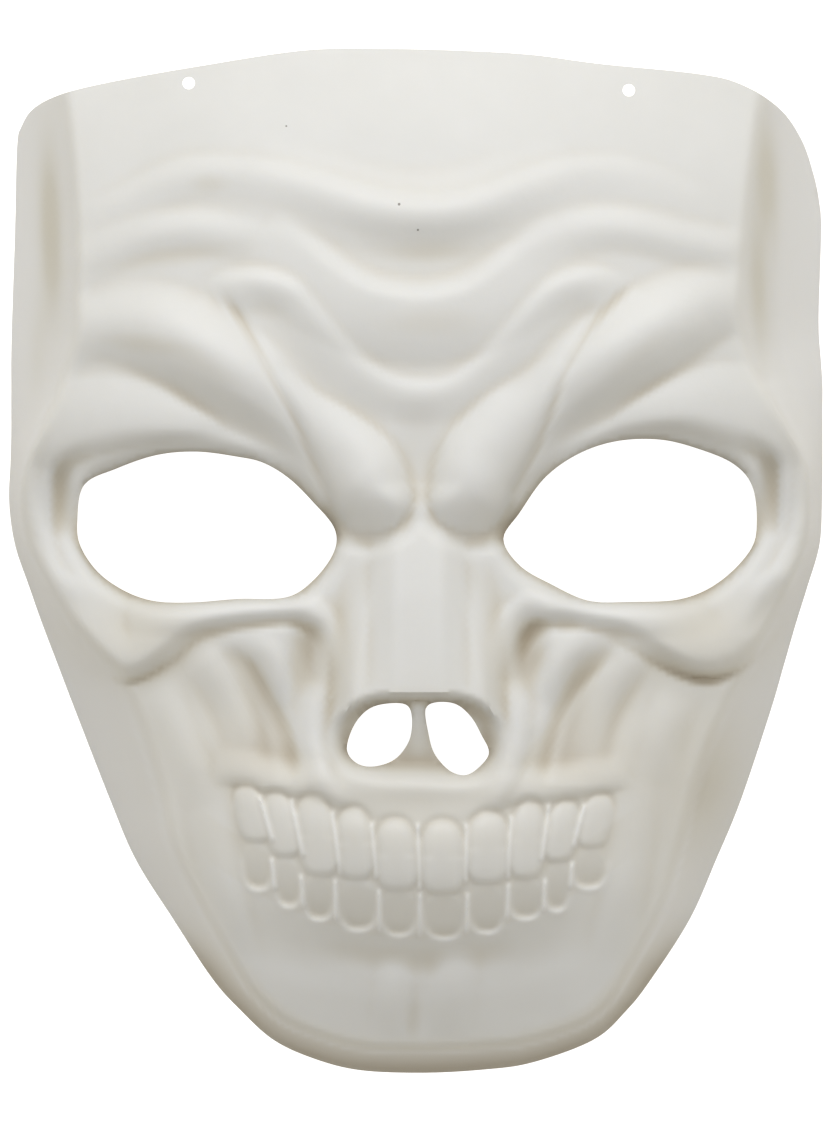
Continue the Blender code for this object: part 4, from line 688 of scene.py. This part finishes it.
def front_height(x, y):
    """Outer surface before the side walls cut it off."""
    reach = np.abs(x) / FACE_HALF
    z = column(PROFILE, "centre", y) - column(PROFILE, "side_drop", y) * reach ** FACE_FALL
    # nose
    middle = np.abs(x - NOSE_MIDDLE)
    top = column(NOSE, "top", y)
    foot = column(NOSE, "foot", y)
    share = np.clip((middle - top) / (foot - top), 0.0, 1.0)
    nose = column(NOSE, "rise", y) * (1.0 - 0.6 * share - 0.4 * smooth_step(share))
    strip = np.clip((STRIP_FOOT - middle) / (STRIP_FOOT - STRIP_HALF), 0.0, 1.0)
    nose = nose + column(NOSE, "strip", y) * strip
    tip = NOSE_TIP_Y - NOSE_TIP_DROOP * np.clip(middle / NOSE_TIP_HALF, 0.0, 1.3) ** 4
    above_tip = smooth_step((y - tip + 0.5 * NOSE_TIP_WIDTH) / NOSE_TIP_WIDTH)
    z = z + nose * (NOSE_BELOW_TIP + (1.0 - NOSE_BELOW_TIP) * above_tip)
    # mouth
    span = ((x - MOUTH_CENTRE[0]) / MOUTH_HALF[0]) ** 2 + ((y - MOUTH_CENTRE[1]) / MOUTH_HALF[1]) ** 2
    z = z + MOUTH_RISE * np.where(span < 1.0, (1.0 - span) ** 2, 0.0)
    for fold in FOLDS + GROOVES:
        z = z + fold_height(fold, x, y)
    # nose cavity
    cavity = curve_through(CAVITY, 1.5, closed=True)
    gap, _, _ = nearest_on(cavity, x, y, closed=True)
    within = inside(cavity, x, y)
    ramp = smooth_step((CAVITY_TOP_Y - y) / (CAVITY_TOP_Y - CAVITY_LOW_Y))
    slope_run = CAVITY_TOP_SLOPE + (CAVITY_LOW_SLOPE - CAVITY_TOP_SLOPE) * ramp
    depth = CAVITY_TOP_DEPTH + (CAVITY_LOW_DEPTH - CAVITY_TOP_DEPTH) * ramp
    z = z - depth * np.where(within, smooth_step(gap / slope_run), 0.0)
    septum = np.clip(1.0 - (x - NOSE_MIDDLE) ** 2 / SEPTUM_HALF ** 2, 0.0, 1.0) ** 2
    septum = septum * (1.0 - ramp) * smooth_step((SEPTUM_TOP_Y - y) / 1.5)
    z = z + np.where(within, SEPTUM_RISE * septum, 0.0)
    # teeth
    upper = np.zeros(x.shape)
    crease = np.zeros(x.shape)
    for tooth in UPPER_TEETH:
        upper = np.maximum(upper, upper_tooth(tooth, x, y))
        crease = np.minimum(crease, gum_crease(tooth, x, y))
    lower = np.zeros(x.shape)
    for tooth in LOWER_TEETH:
        shape = lower_tooth(tooth, x, y)
        lower = np.where(np.abs(shape) > np.abs(lower), shape, lower)
    bare = 1.0 - np.clip(upper / 0.3, 0.0, 1.0)
    z = z + upper + (lower + crease) * bare
    # rolled eye edges
    for eye in (EYE_LEFT, EYE_RIGHT):
        loop = curve_through(eye, 2.0, closed=True)
        gap, _, _ = nearest_on(loop, x, y, closed=True)
        gap = np.where(inside(loop, x, y), 0.0, gap)
        z = z - EYE_ROLL * np.clip(1.0 - gap / EYE_ROLL_REACH, 0.0, 1.0) ** 2
    return z


def mask_height(x, y):
    """Outer surface of the mask above the table it lies on."""
    z = front_height(x, y)
    edge = table_edge()
    gap, side, extra = nearest_on(edge, x, y)
    share = gap * side / extra[..., 0]
    wall = WALL_HEIGHT * np.interp(share, WALL_RUN, WALL_RISE)
    blend = np.interp(-y, WALL_BLEND_DOWN, WALL_BLEND)
    z = smooth_low(z, wall, blend)
    for ridge in RIDGES:
        z = z + fold_height(ridge, x, y)
    return z


def outline():
    """Trimmed outer edge as one closed loop, walked with the mask on the left."""
    left = [(row.left, row.y) for row in SIDES if row.y < 95]
    right = [(row.right, row.y) for row in reversed(SIDES) if row.y < 80]
    chin = [(row.x, row.y) for row in CHIN]
    return curve_through(left + chin + right + list(reversed(TOP_EDGE)), 1.0, closed=True)


def blurred(z, step, width, spread=2.6):
    """A grid smoothed over a width."""
    reach = int(math.ceil(spread * width / step))
    weights = np.exp(-0.5 * (np.arange(-reach, reach + 1) * step / width) ** 2)
    weights = weights / weights.sum()
    for axis in (0, 1):
        padded = np.pad(z, [(reach, reach) if axis == index else (0, 0) for index in (0, 1)], mode="edge")
        total = np.zeros(z.shape)
        for index, weight in enumerate(weights):
            total += weight * np.take(padded, range(index, index + z.shape[axis]), axis=axis)
        z = total
    return z


def height_grid(step, soften):
    """Heights on a square grid over the whole mask, with every edge softened as a drawn sheet is."""
    xs = np.arange(-GRID_HALF[0], GRID_HALF[0] + step, step)
    ys = np.arange(-GRID_HALF[1], GRID_HALF[1] + step, step)
    x, y = np.meshgrid(xs, ys)
    z = mask_height(x.ravel(), y.ravel()).reshape(x.shape)
    return xs, ys, blurred(z, step, soften, 3.0)


def inner_grid(z, step):
    """Inner face of the sheet: the outer one moved in by the sheet's thickness."""
    reach = int(SHEET / step)
    padded = np.pad(z, reach, mode="edge")
    inner = np.full(z.shape, 1e9)
    for down in range(-reach, reach + 1):
        for over in range(-reach, reach + 1):
            gap = SHEET ** 2 - (down * down + over * over) * step * step
            if gap < -1e-9:
                continue
            part = padded[reach + down:reach + down + z.shape[0], reach + over:reach + over + z.shape[1]]
            inner = np.minimum(inner, part - math.sqrt(max(gap, 0.0)))
    return inner


def read_grid(xs, ys, grid, points):
    """Height at each point, read between the grid's nodes."""
    step = xs[1] - xs[0]
    across = (points[:, 0] - xs[0]) / step
    up = (points[:, 1] - ys[0]) / step
    column_index = np.clip(across.astype(int), 0, len(xs) - 2)
    row_index = np.clip(up.astype(int), 0, len(ys) - 2)
    across = across - column_index
    up = up - row_index
    low = grid[row_index, column_index] * (1 - across) + grid[row_index, column_index + 1] * across
    high = (grid[row_index + 1, column_index] * (1 - across)
            + grid[row_index + 1, column_index + 1] * across)
    return low * (1 - up) + high * up


def even_points(loop, step):
    """Points about one step apart along a closed loop."""
    path = np.vstack([loop, loop[:1]])
    lengths = np.hypot(*np.diff(path[:, :2], axis=0).T)
    run = np.concatenate([[0.0], np.cumsum(lengths)])
    count = max(8, int(round(run[-1] / step)))
    at = np.linspace(0.0, run[-1], count + 1)[:-1]
    return np.stack([np.interp(at, run, path[:, index]) for index in range(path.shape[1])], axis=1)


def inset(loop, distance):
    """A closed loop moved towards its left side; a hole's loop is walked the other way, so it grows."""
    ahead = np.roll(loop, -1, axis=0) - np.roll(loop, 1, axis=0)
    ahead = ahead / np.hypot(ahead[:, 0], ahead[:, 1])[:, None]
    return loop[:, :2] + distance * np.stack([-ahead[:, 1], ahead[:, 0]], axis=1)


def circle(centre, radius, count):
    """A round hole's edge, walked clockwise like the other holes."""
    angles = np.arange(count) * -2.0 * math.pi / count
    return np.stack([centre[0] + radius * np.cos(angles), centre[1] + radius * np.sin(angles)], axis=1)


def hex_points(step):
    """Rows of points at the corners of even triangles over the whole mask."""
    points = []
    row = 0
    y = -GRID_HALF[1]
    while y < GRID_HALF[1]:
        start = -GRID_HALF[0] + (0.5 * step if row % 2 else 0.0)
        xs = np.arange(start, GRID_HALF[0], step)
        points.append(np.stack([xs, np.full(xs.shape, y)], axis=1))
        row += 1
        y += step * math.sqrt(3.0) / 2.0
    return np.vstack(points)


def sheet_mesh(trimmed, holes, points, heights):
    """One closed solid: outer face, inner face, trimmed edge and the cut edges of the holes."""
    rim = inset(trimmed, RIM_WIDTH)
    loops = [rim] + holes
    flat = np.vstack(loops + [points])
    edges = []
    start = 0
    for loop in loops:
        count = len(loop)
        edges += [(start + index, start + (index + 1) % count) for index in range(count)]
        start += count
    result = delaunay_2d_cdt([Vector(point) for point in flat], edges, [], 0, 1e-6)
    plane = np.array([tuple(vertex) for vertex in result[0]])
    faces = [face for face in result[2] if len(face) == 3]
    where = {}
    for index, sources in enumerate(result[3]):
        for source in sources:
            where[source] = index
    middle = np.array([plane[list(face)].mean(axis=0) for face in faces])
    keep = inside(rim, middle[:, 0], middle[:, 1])
    for hole in holes:
        keep &= ~inside(hole, middle[:, 0], middle[:, 1])
    faces = [face for face, kept in zip(faces, keep) if kept]

    xs, ys, outer, inner = heights
    outer_z = read_grid(xs, ys, outer, plane)
    inner_z = np.minimum(read_grid(xs, ys, inner, plane), outer_z - 0.8 * SHEET)
    edge_z = read_grid(xs, ys, outer, trimmed)
    gap, _, _ = nearest_on(table_edge(), trimmed[:, 0], trimmed[:, 1])
    edge_z[(gap < FLOOR_SNAP) & (trimmed[:, 1] < TOP_EDGE[0][1])] = 0.0
    for index in range(len(rim)):
        if edge_z[index] == 0.0:
            inner_z[where[index]] = 0.0
    inner_z = np.maximum(inner_z, 0.0)

    count = len(plane)
    vertices = [(x, y, z) for (x, y), z in zip(plane, outer_z)]
    vertices += [(x, y, z) for (x, y), z in zip(plane, inner_z)]
    vertices += [(x, y, z) for (x, y), z in zip(trimmed, edge_z)]
    solid = []
    for a, b, c in faces:
        first, second, third = plane[a], plane[b], plane[c]
        turn = ((second[0] - first[0]) * (third[1] - first[1])
                - (second[1] - first[1]) * (third[0] - first[0]))
        if turn < 0.0:
            b, c = c, b
        solid += [(a, b, c), (a + count, c + count, b + count)]
    for index in range(len(rim)):
        after = (index + 1) % len(rim)
        here, there = where[index], where[after]
        low, high = 2 * count + index, 2 * count + after
        solid += [(low, high, there), (low, there, here)]
        solid += [(low, here + count, there + count), (low, there + count, high)]
    start = len(rim)
    for hole in holes:
        for index in range(len(hole)):
            here = where[start + index]
            there = where[start + (index + 1) % len(hole)]
            solid += [(here, here + count, there + count), (here, there + count, there)]
        start += len(hole)
    return vertices, solid


def tooth_span(x, y):
    """Below 1 on the rows of teeth and above 1 round them."""
    rise = y - TOOTH_ZONE[1] - TOOTH_SMILE * x * x
    return np.abs((x - TOOTH_ZONE[0]) / TOOTH_ZONE[2]) ** 3 + np.abs(rise / TOOTH_ZONE[3]) ** 3


def spread_points(trimmed, holes, edge):
    """Points inside the trimmed edge, closest together on the teeth and up the walls."""
    kept = []
    for step, kind in ((TOOTH_STEP, "teeth"), (WALL_STEP, "wall"), (FACE_STEP, "face")):
        points = hex_points(step)
        x, y = points[:, 0], points[:, 1]
        teeth = tooth_span(x, y) < 1.0
        nose = ((x / NOSE_ZONE[1]) ** 4 + ((y - NOSE_ZONE[0]) / NOSE_ZONE[2]) ** 4) < 1.0
        gap, _, extra = nearest_on(edge, x, y)
        wall = (gap < extra[:, 0] * WALL_BAND) & ~teeth | nose
        points = points[{"teeth": teeth & ~nose, "wall": wall, "face": ~teeth & ~wall}[kind]]
        x, y = points[:, 0], points[:, 1]
        gap, _, _ = nearest_on(trimmed, x, y, closed=True)
        clear = inside(trimmed, x, y) & (gap > RIM_WIDTH + POINT_GAP * step)
        for hole in holes:
            gap, _, _ = nearest_on(hole, x, y, closed=True)
            clear &= ~inside(hole, x, y) & (gap > POINT_GAP * step)
        kept.append(points[clear])
    return np.vstack(kept)


def patches(table, x, y):
    """Sum of a table's soft oval patches at each point."""
    total = np.zeros(x.shape)
    for patch in table:
        turn = math.radians(patch.turn)
        along = (x - patch.x) * math.cos(turn) + (y - patch.y) * math.sin(turn)
        across = (y - patch.y) * math.cos(turn) - (x - patch.x) * math.sin(turn)
        total += patch.depth * np.exp(-(along / patch.half_x) ** 2 - (across / patch.half_y) ** 2)
    return total


def tooth_seams(x, y):
    """How much each point lies in a gap between two teeth, from 0 to 1."""
    seam = np.zeros(x.shape)
    for row in (UPPER_TEETH, LOWER_TEETH):
        for tooth, after in zip(row[:-1], row[1:]):
            top = min(tooth.top, after.top) - 1.0
            bottom = max(tooth.bottom, after.bottom) + 0.5
            along = np.clip((y - bottom) / (top - bottom), 0.0, 1.0)
            lean = 0.5 * (tooth.lean + after.lean) * (along - 0.5)
            line = 0.5 * (tooth.right + after.left) + lean
            near = np.exp(-((x - line) / SEAM_HALF) ** 2)
            within = smooth_step((y - bottom + 1.0) / SEAM_END) * smooth_step((top + 1.0 - y) / SEAM_END)
            seam = np.maximum(seam, near * within)
    return seam


def sheet_fields(xs, ys, outer, plan, trimmed):
    """Values at each vertex by which painted shade and painted light are laid on the plastic."""
    x, y = plan[:, 0], plan[:, 1]
    on_teeth = smooth_step((1.3 - tooth_span(x, y)) / 0.6)
    # painted shade patches, and painted light where their depth is below 0
    shade_and_light_patch = patches(SHADE_AND_LIGHT_PATCHES, x, y)
    gap, _, _ = nearest_on(trimmed, x, y, closed=True)
    rim = np.clip(1.0 - gap / CHIN_RIM_WIDTH, 0.0, 1.0) * smooth_step((CHIN_RIM_TOP - y) / CHIN_RIM_RUN)

    # hollow: painted shade where the face sinks, with the painted shade patches, the lower face, the chin's
    # edge and the lower teeth
    across, down = np.meshgrid(xs, ys)
    face = front_height(across.ravel(), down.ravel()).reshape(across.shape)
    sunken = np.zeros(face.shape)
    for width, depth in (DEEP, WIDE):
        sunken += np.clip((blurred(face, GRID_STEP, width) - face) / depth, 0.0, 1.0)
    hollow = read_grid(xs, ys, sunken, plan)
    hollow = hollow * (1.0 - FOREHEAD_SHADE_LOSS * smooth_step((y - FOREHEAD_SHADE_Y) / FOREHEAD_SHADE_RUN))
    low_half = (smooth_step((LOW_SHADE_TOP[0] - y) / LOW_SHADE_TOP[1])
                * smooth_step((y - LOW_SHADE_END[0]) / LOW_SHADE_END[1]))
    below_bite = LOWER_TEETH_TOP + LOWER_TEETH_SMILE * x ** 2 - y
    lower_row = on_teeth * smooth_step(below_bite / 1.5) * smooth_step(LOWER_TEETH_HIGH - below_bite)
    hollow = hollow + shade_and_light_patch + LOW_SHADE * low_half + CHIN_RIM_SHADE * rim + LOWER_TEETH_SHADE * lower_row

    # painted light: highlights on pressed edges, the pale patches and the pale side walls
    fine = (outer - blurred(outer, GRID_STEP, FINE[0])) / FINE[1]
    wall = np.clip(read_grid(xs, ys, (face - outer) / WALL_DROP, plan), 0.0, 1.0)
    painted_light = read_grid(xs, ys, np.clip(fine, 0.0, 1.0), plan) + np.clip(-shade_and_light_patch, 0.0, PALE_LIMIT)
    painted_light = painted_light + WALL_PALE * wall * (1.0 - rim) * np.clip(1.0 - shade_and_light_patch / WALL_PALE_LIMIT, 0.0, 1.0)

    # painted shade on steep stretches, and on creases that aren't steep
    rise_y, rise_x = np.gradient(blurred(outer, GRID_STEP, STEEP[0]), GRID_STEP)
    slope = np.clip((np.hypot(rise_x, rise_y) - STEEP[1]) / STEEP[2], 0.0, 1.0)
    crease = read_grid(xs, ys, np.clip(-fine, 0.0, 1.0) * (1.0 - slope), plan)
    return {
        "hollow": np.clip(hollow, 0.0, 1.0),
        # painted highlight along the ridges between the teeth
        "seam": tooth_seams(x, y),
        "painted_light": painted_light,
        "crease": crease * (1.0 - TOOTH_CREASE_LOSS * on_teeth),
        "steep": read_grid(xs, ys, slope, plan),
    }


def add_node(tree, kind, inputs=(), **settings):
    """A node of a kind. Sockets among its inputs are joined to it, and the rest are plain values."""
    node = tree.nodes.new("ShaderNode" + kind)
    for name, value in settings.items():
        setattr(node, name, value)
    for name, value in dict(inputs).items():
        if isinstance(value, bpy.types.NodeSocket):
            tree.links.new(value, node.inputs[name])
        else:
            node.inputs[name].default_value = value
    return node


def mixed(tree, share, first, second, blend="MIX"):
    """Two colours mixed by a share."""
    inputs = {"Factor": share, "A": first, "B": second}
    return add_node(tree, "Mix", inputs, data_type="RGBA", blend_type=blend).outputs["Result"]


def noise(tree, place, scale, detail, roughness=0.5):
    """Irregular variation about 0.5."""
    inputs = {"Vector": place, "Scale": scale, "Detail": detail, "Roughness": roughness}
    return add_node(tree, "TexNoise", inputs).outputs["Fac"]


def worked_out(tree, operation, first, second):
    """A sum, product or comparison of two values."""
    return add_node(tree, "Math", {0: first, 1: second}, operation=operation).outputs["Value"]


def field(tree, name):
    """A value kept at each vertex."""
    return add_node(tree, "Attribute", attribute_name=name).outputs["Fac"]


def plastic_material():
    """Cloudy off-white plastic, with painted shade where it sinks, in creases and on steep stretches, and
    painted highlights where it is pressed out and on the stretched ridges between the teeth.
    """
    material = bpy.data.materials.new("formed_plastic")
    material.use_nodes = True
    tree = material.node_tree
    tree.nodes.clear()
    place = add_node(tree, "TexCoord").outputs["Object"]

    # cloudy thickness of the drawn sheet
    cloud = noise(tree, place, 38.0, 4.0, 0.55)
    cloud = add_node(tree, "MapRange", {"Value": cloud, "From Min": 0.3, "From Max": 0.7}).outputs["Result"]
    colour = mixed(tree, cloud, *SHEET_COLOURS)

    # painted shade: warmer and darker where the sheet goes deep
    painted_shade_ramp = add_node(tree, "ValToRGB", {"Fac": field(tree, "hollow")})
    stops = painted_shade_ramp.color_ramp.elements
    for index, (position, shade) in enumerate(PAINTED_SHADE_STOPS):
        stop = stops[index] if index < len(stops) else stops.new(position)
        stop.position = position
        stop.color = shade
    colour = mixed(tree, 1.0, colour, painted_shade_ramp.outputs["Color"], "MULTIPLY")

    # painted shade: brown in creases and warm on steep stretches; painted highlights: crests, the pale side
    # walls and patches, and the gaps of the teeth are pale
    for name, shade in PAINTED_SHADE_FIELDS:
        colour = mixed(tree, 1.0, colour, mixed(tree, field(tree, name), WHITE, shade), "MULTIPLY")
    for name, share, shade in PAINTED_LIGHT_FIELDS:
        colour = mixed(tree, worked_out(tree, "MULTIPLY", field(tree, name), share), colour, shade)

    # a few dark specks in the sheet
    flat = add_node(tree, "VectorMath", {0: place, 1: (1.0, 1.0, 0.0)}, operation="MULTIPLY")
    dots = 0.0
    for speck in SPECKS:
        middle = ((speck.x - MIDDLE_X) * MM, speck.y * MM, 0.0)
        away = add_node(tree, "VectorMath", {0: flat.outputs["Vector"], 1: middle}, operation="DISTANCE")
        within = worked_out(tree, "LESS_THAN", away.outputs["Value"], speck.radius * MM)
        dots = worked_out(tree, "MAXIMUM", dots, within)
    colour = mixed(tree, dots, colour, SPECK_COLOUR)

    # satin skin with faint dents and a mould grain
    gloss = noise(tree, place, 90.0, 3.0)
    gloss = add_node(tree, "MapRange", {"Value": gloss, "To Min": 0.40, "To Max": 0.56}).outputs["Result"]
    grain = noise(tree, place, 700.0, 3.0)
    grain = add_node(tree, "Bump", {"Strength": 0.10, "Distance": 0.0002, "Height": grain})
    dents = noise(tree, place, 70.0, 2.0)
    dents = add_node(tree, "Bump", {"Strength": 0.25, "Distance": 0.0006, "Height": dents,
                                    "Normal": grain.outputs["Normal"]})
    skin = add_node(tree, "BsdfPrincipled", {
        "Base Color": colour, "Roughness": gloss, "Normal": dents.outputs["Normal"], "IOR": 1.46,
        "Subsurface Weight": 0.12, "Subsurface Radius": (1.0, 0.9, 0.7), "Subsurface Scale": 0.0015})
    through = add_node(tree, "BsdfTranslucent", {"Color": THROUGH_COLOUR})
    blend = {0: THROUGH_SHARE, 1: skin.outputs["BSDF"], 2: through.outputs["BSDF"]}
    blend = add_node(tree, "MixShader", blend)
    add_node(tree, "OutputMaterial", {"Surface": blend.outputs["Shader"]})
    return material


def add_mask():
    """The whole mask as one closed sheet."""
    xs, ys, outer = height_grid(GRID_STEP, SOFTEN)
    outer = outer + SEAM_RISE * tooth_seams(*np.meshgrid(xs, ys))
    inner = inner_grid(outer, GRID_STEP)
    trimmed = even_points(outline(), RIM_STEP)
    holes = []
    for loops, curve_step, step in (((EYE_LEFT, EYE_RIGHT), 1.0, EYE_STEP),
                                    ((NOSTRIL_LEFT, NOSTRIL_RIGHT), 0.7, NOSTRIL_STEP)):
        for loop in loops:
            holes.append(even_points(curve_through(loop, curve_step, closed=True), step))
    holes += [circle(centre, STRAP_HOLE, STRAP_HOLE_SIDES) for centre in STRAP_HOLES]
    points = spread_points(trimmed, holes, table_edge())
    vertices, faces = sheet_mesh(trimmed, holes, points, (xs, ys, outer, inner))
    plan = np.array([(x, y) for x, y, z in vertices])
    mesh = bpy.data.meshes.new("mask_skin")
    mesh.from_pydata([((x - MIDDLE_X) * MM, y * MM, z * MM) for x, y, z in vertices], [], faces)
    for name, values in sheet_fields(xs, ys, outer, plan, trimmed).items():
        attribute = mesh.attributes.new(name, "FLOAT", "POINT")
        attribute.data.foreach_set("value", np.asarray(values, dtype=np.float32))
    mesh.materials.append(plastic_material())
    mesh.shade_smooth()
    mesh.set_sharp_from_angle(angle=math.radians(SHARP_ANGLE))
    mask = bpy.data.objects.new("mask_skin", mesh)
    bpy.context.scene.collection.objects.link(mask)
    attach(mask, "root")
    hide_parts("mask_shell")


def add_floor():
    """A pale floor that the camera alone sees as white."""
    material = bpy.data.materials.new("pale_floor")
    material.use_nodes = True
    tree = material.node_tree
    path = add_node(tree, "LightPath").outputs["Is Camera Ray"]
    glow = add_node(tree, "MapRange", {"Value": path, "To Min": FLOOR_GLOW, "To Max": 1.0})
    shader = tree.nodes["Principled BSDF"]
    for name, value in (("Base Color", FLOOR_COLOUR), ("Roughness", 0.9), ("Specular IOR Level", 0.0),
                        ("Emission Color", WHITE)):
        shader.inputs[name].default_value = value
    tree.links.new(glow.outputs["Result"], shader.inputs["Emission Strength"])
    bpy.ops.mesh.primitive_plane_add(size=FLOOR_SIZE, location=(0.0, 0.0, -FLOOR_DROP))
    floor = bpy.context.object
    floor.name = "floor"
    floor.data.materials.append(material)


def add_light():
    """One broad soft lamp beyond the forehead."""
    data = bpy.data.lights.new("top_light", "AREA")
    data.shape = "SQUARE"
    data.size = LAMP_SIZE
    data.energy = LAMP_POWER
    lamp = bpy.data.objects.new("top_light", data)
    lamp.location = LAMP_PLACE
    lamp.rotation_euler = (Vector(LAMP_AIM) - Vector(LAMP_PLACE)).to_track_quat("-Z", "Y").to_euler()
    bpy.context.scene.collection.objects.link(lamp)


def add_camera():
    """Straight above the face and far away."""
    data = bpy.data.cameras.new("camera")
    data.sensor_width = FILM
    data.lens = FILM * CAMERA_HEIGHT / FRAME_HEIGHT
    data.clip_end = 30.0
    camera = bpy.data.objects.new("camera", data)
    camera.location = (0.0, 0.0, CAMERA_HEIGHT)
    bpy.context.scene.collection.objects.link(camera)
    bpy.context.scene.camera = camera


def add_world():
    """Even light, warmer and weaker from the chin's side."""
    world = bpy.data.worlds.new("studio")
    bpy.context.scene.world = world
    world.use_nodes = True
    tree = world.node_tree
    place = add_node(tree, "TexCoord").outputs["Generated"]
    split = add_node(tree, "SeparateXYZ", {"Vector": place})
    fade = add_node(tree, "MapRange", {"Value": split.outputs["Y"], "From Min": WORLD_FADE[0],
                                       "From Max": WORLD_FADE[1]}, interpolation_type="SMOOTHSTEP")
    back = tree.nodes["Background"]
    back.inputs["Strength"].default_value = WORLD_LIGHT
    tree.links.new(mixed(tree, fade.outputs["Result"], WORLD_LOW, WHITE), back.inputs["Color"])


add_mask()
add_floor()
add_light()
add_world()
add_camera()
bpy.context.scene.view_settings.view_transform = "Standard"
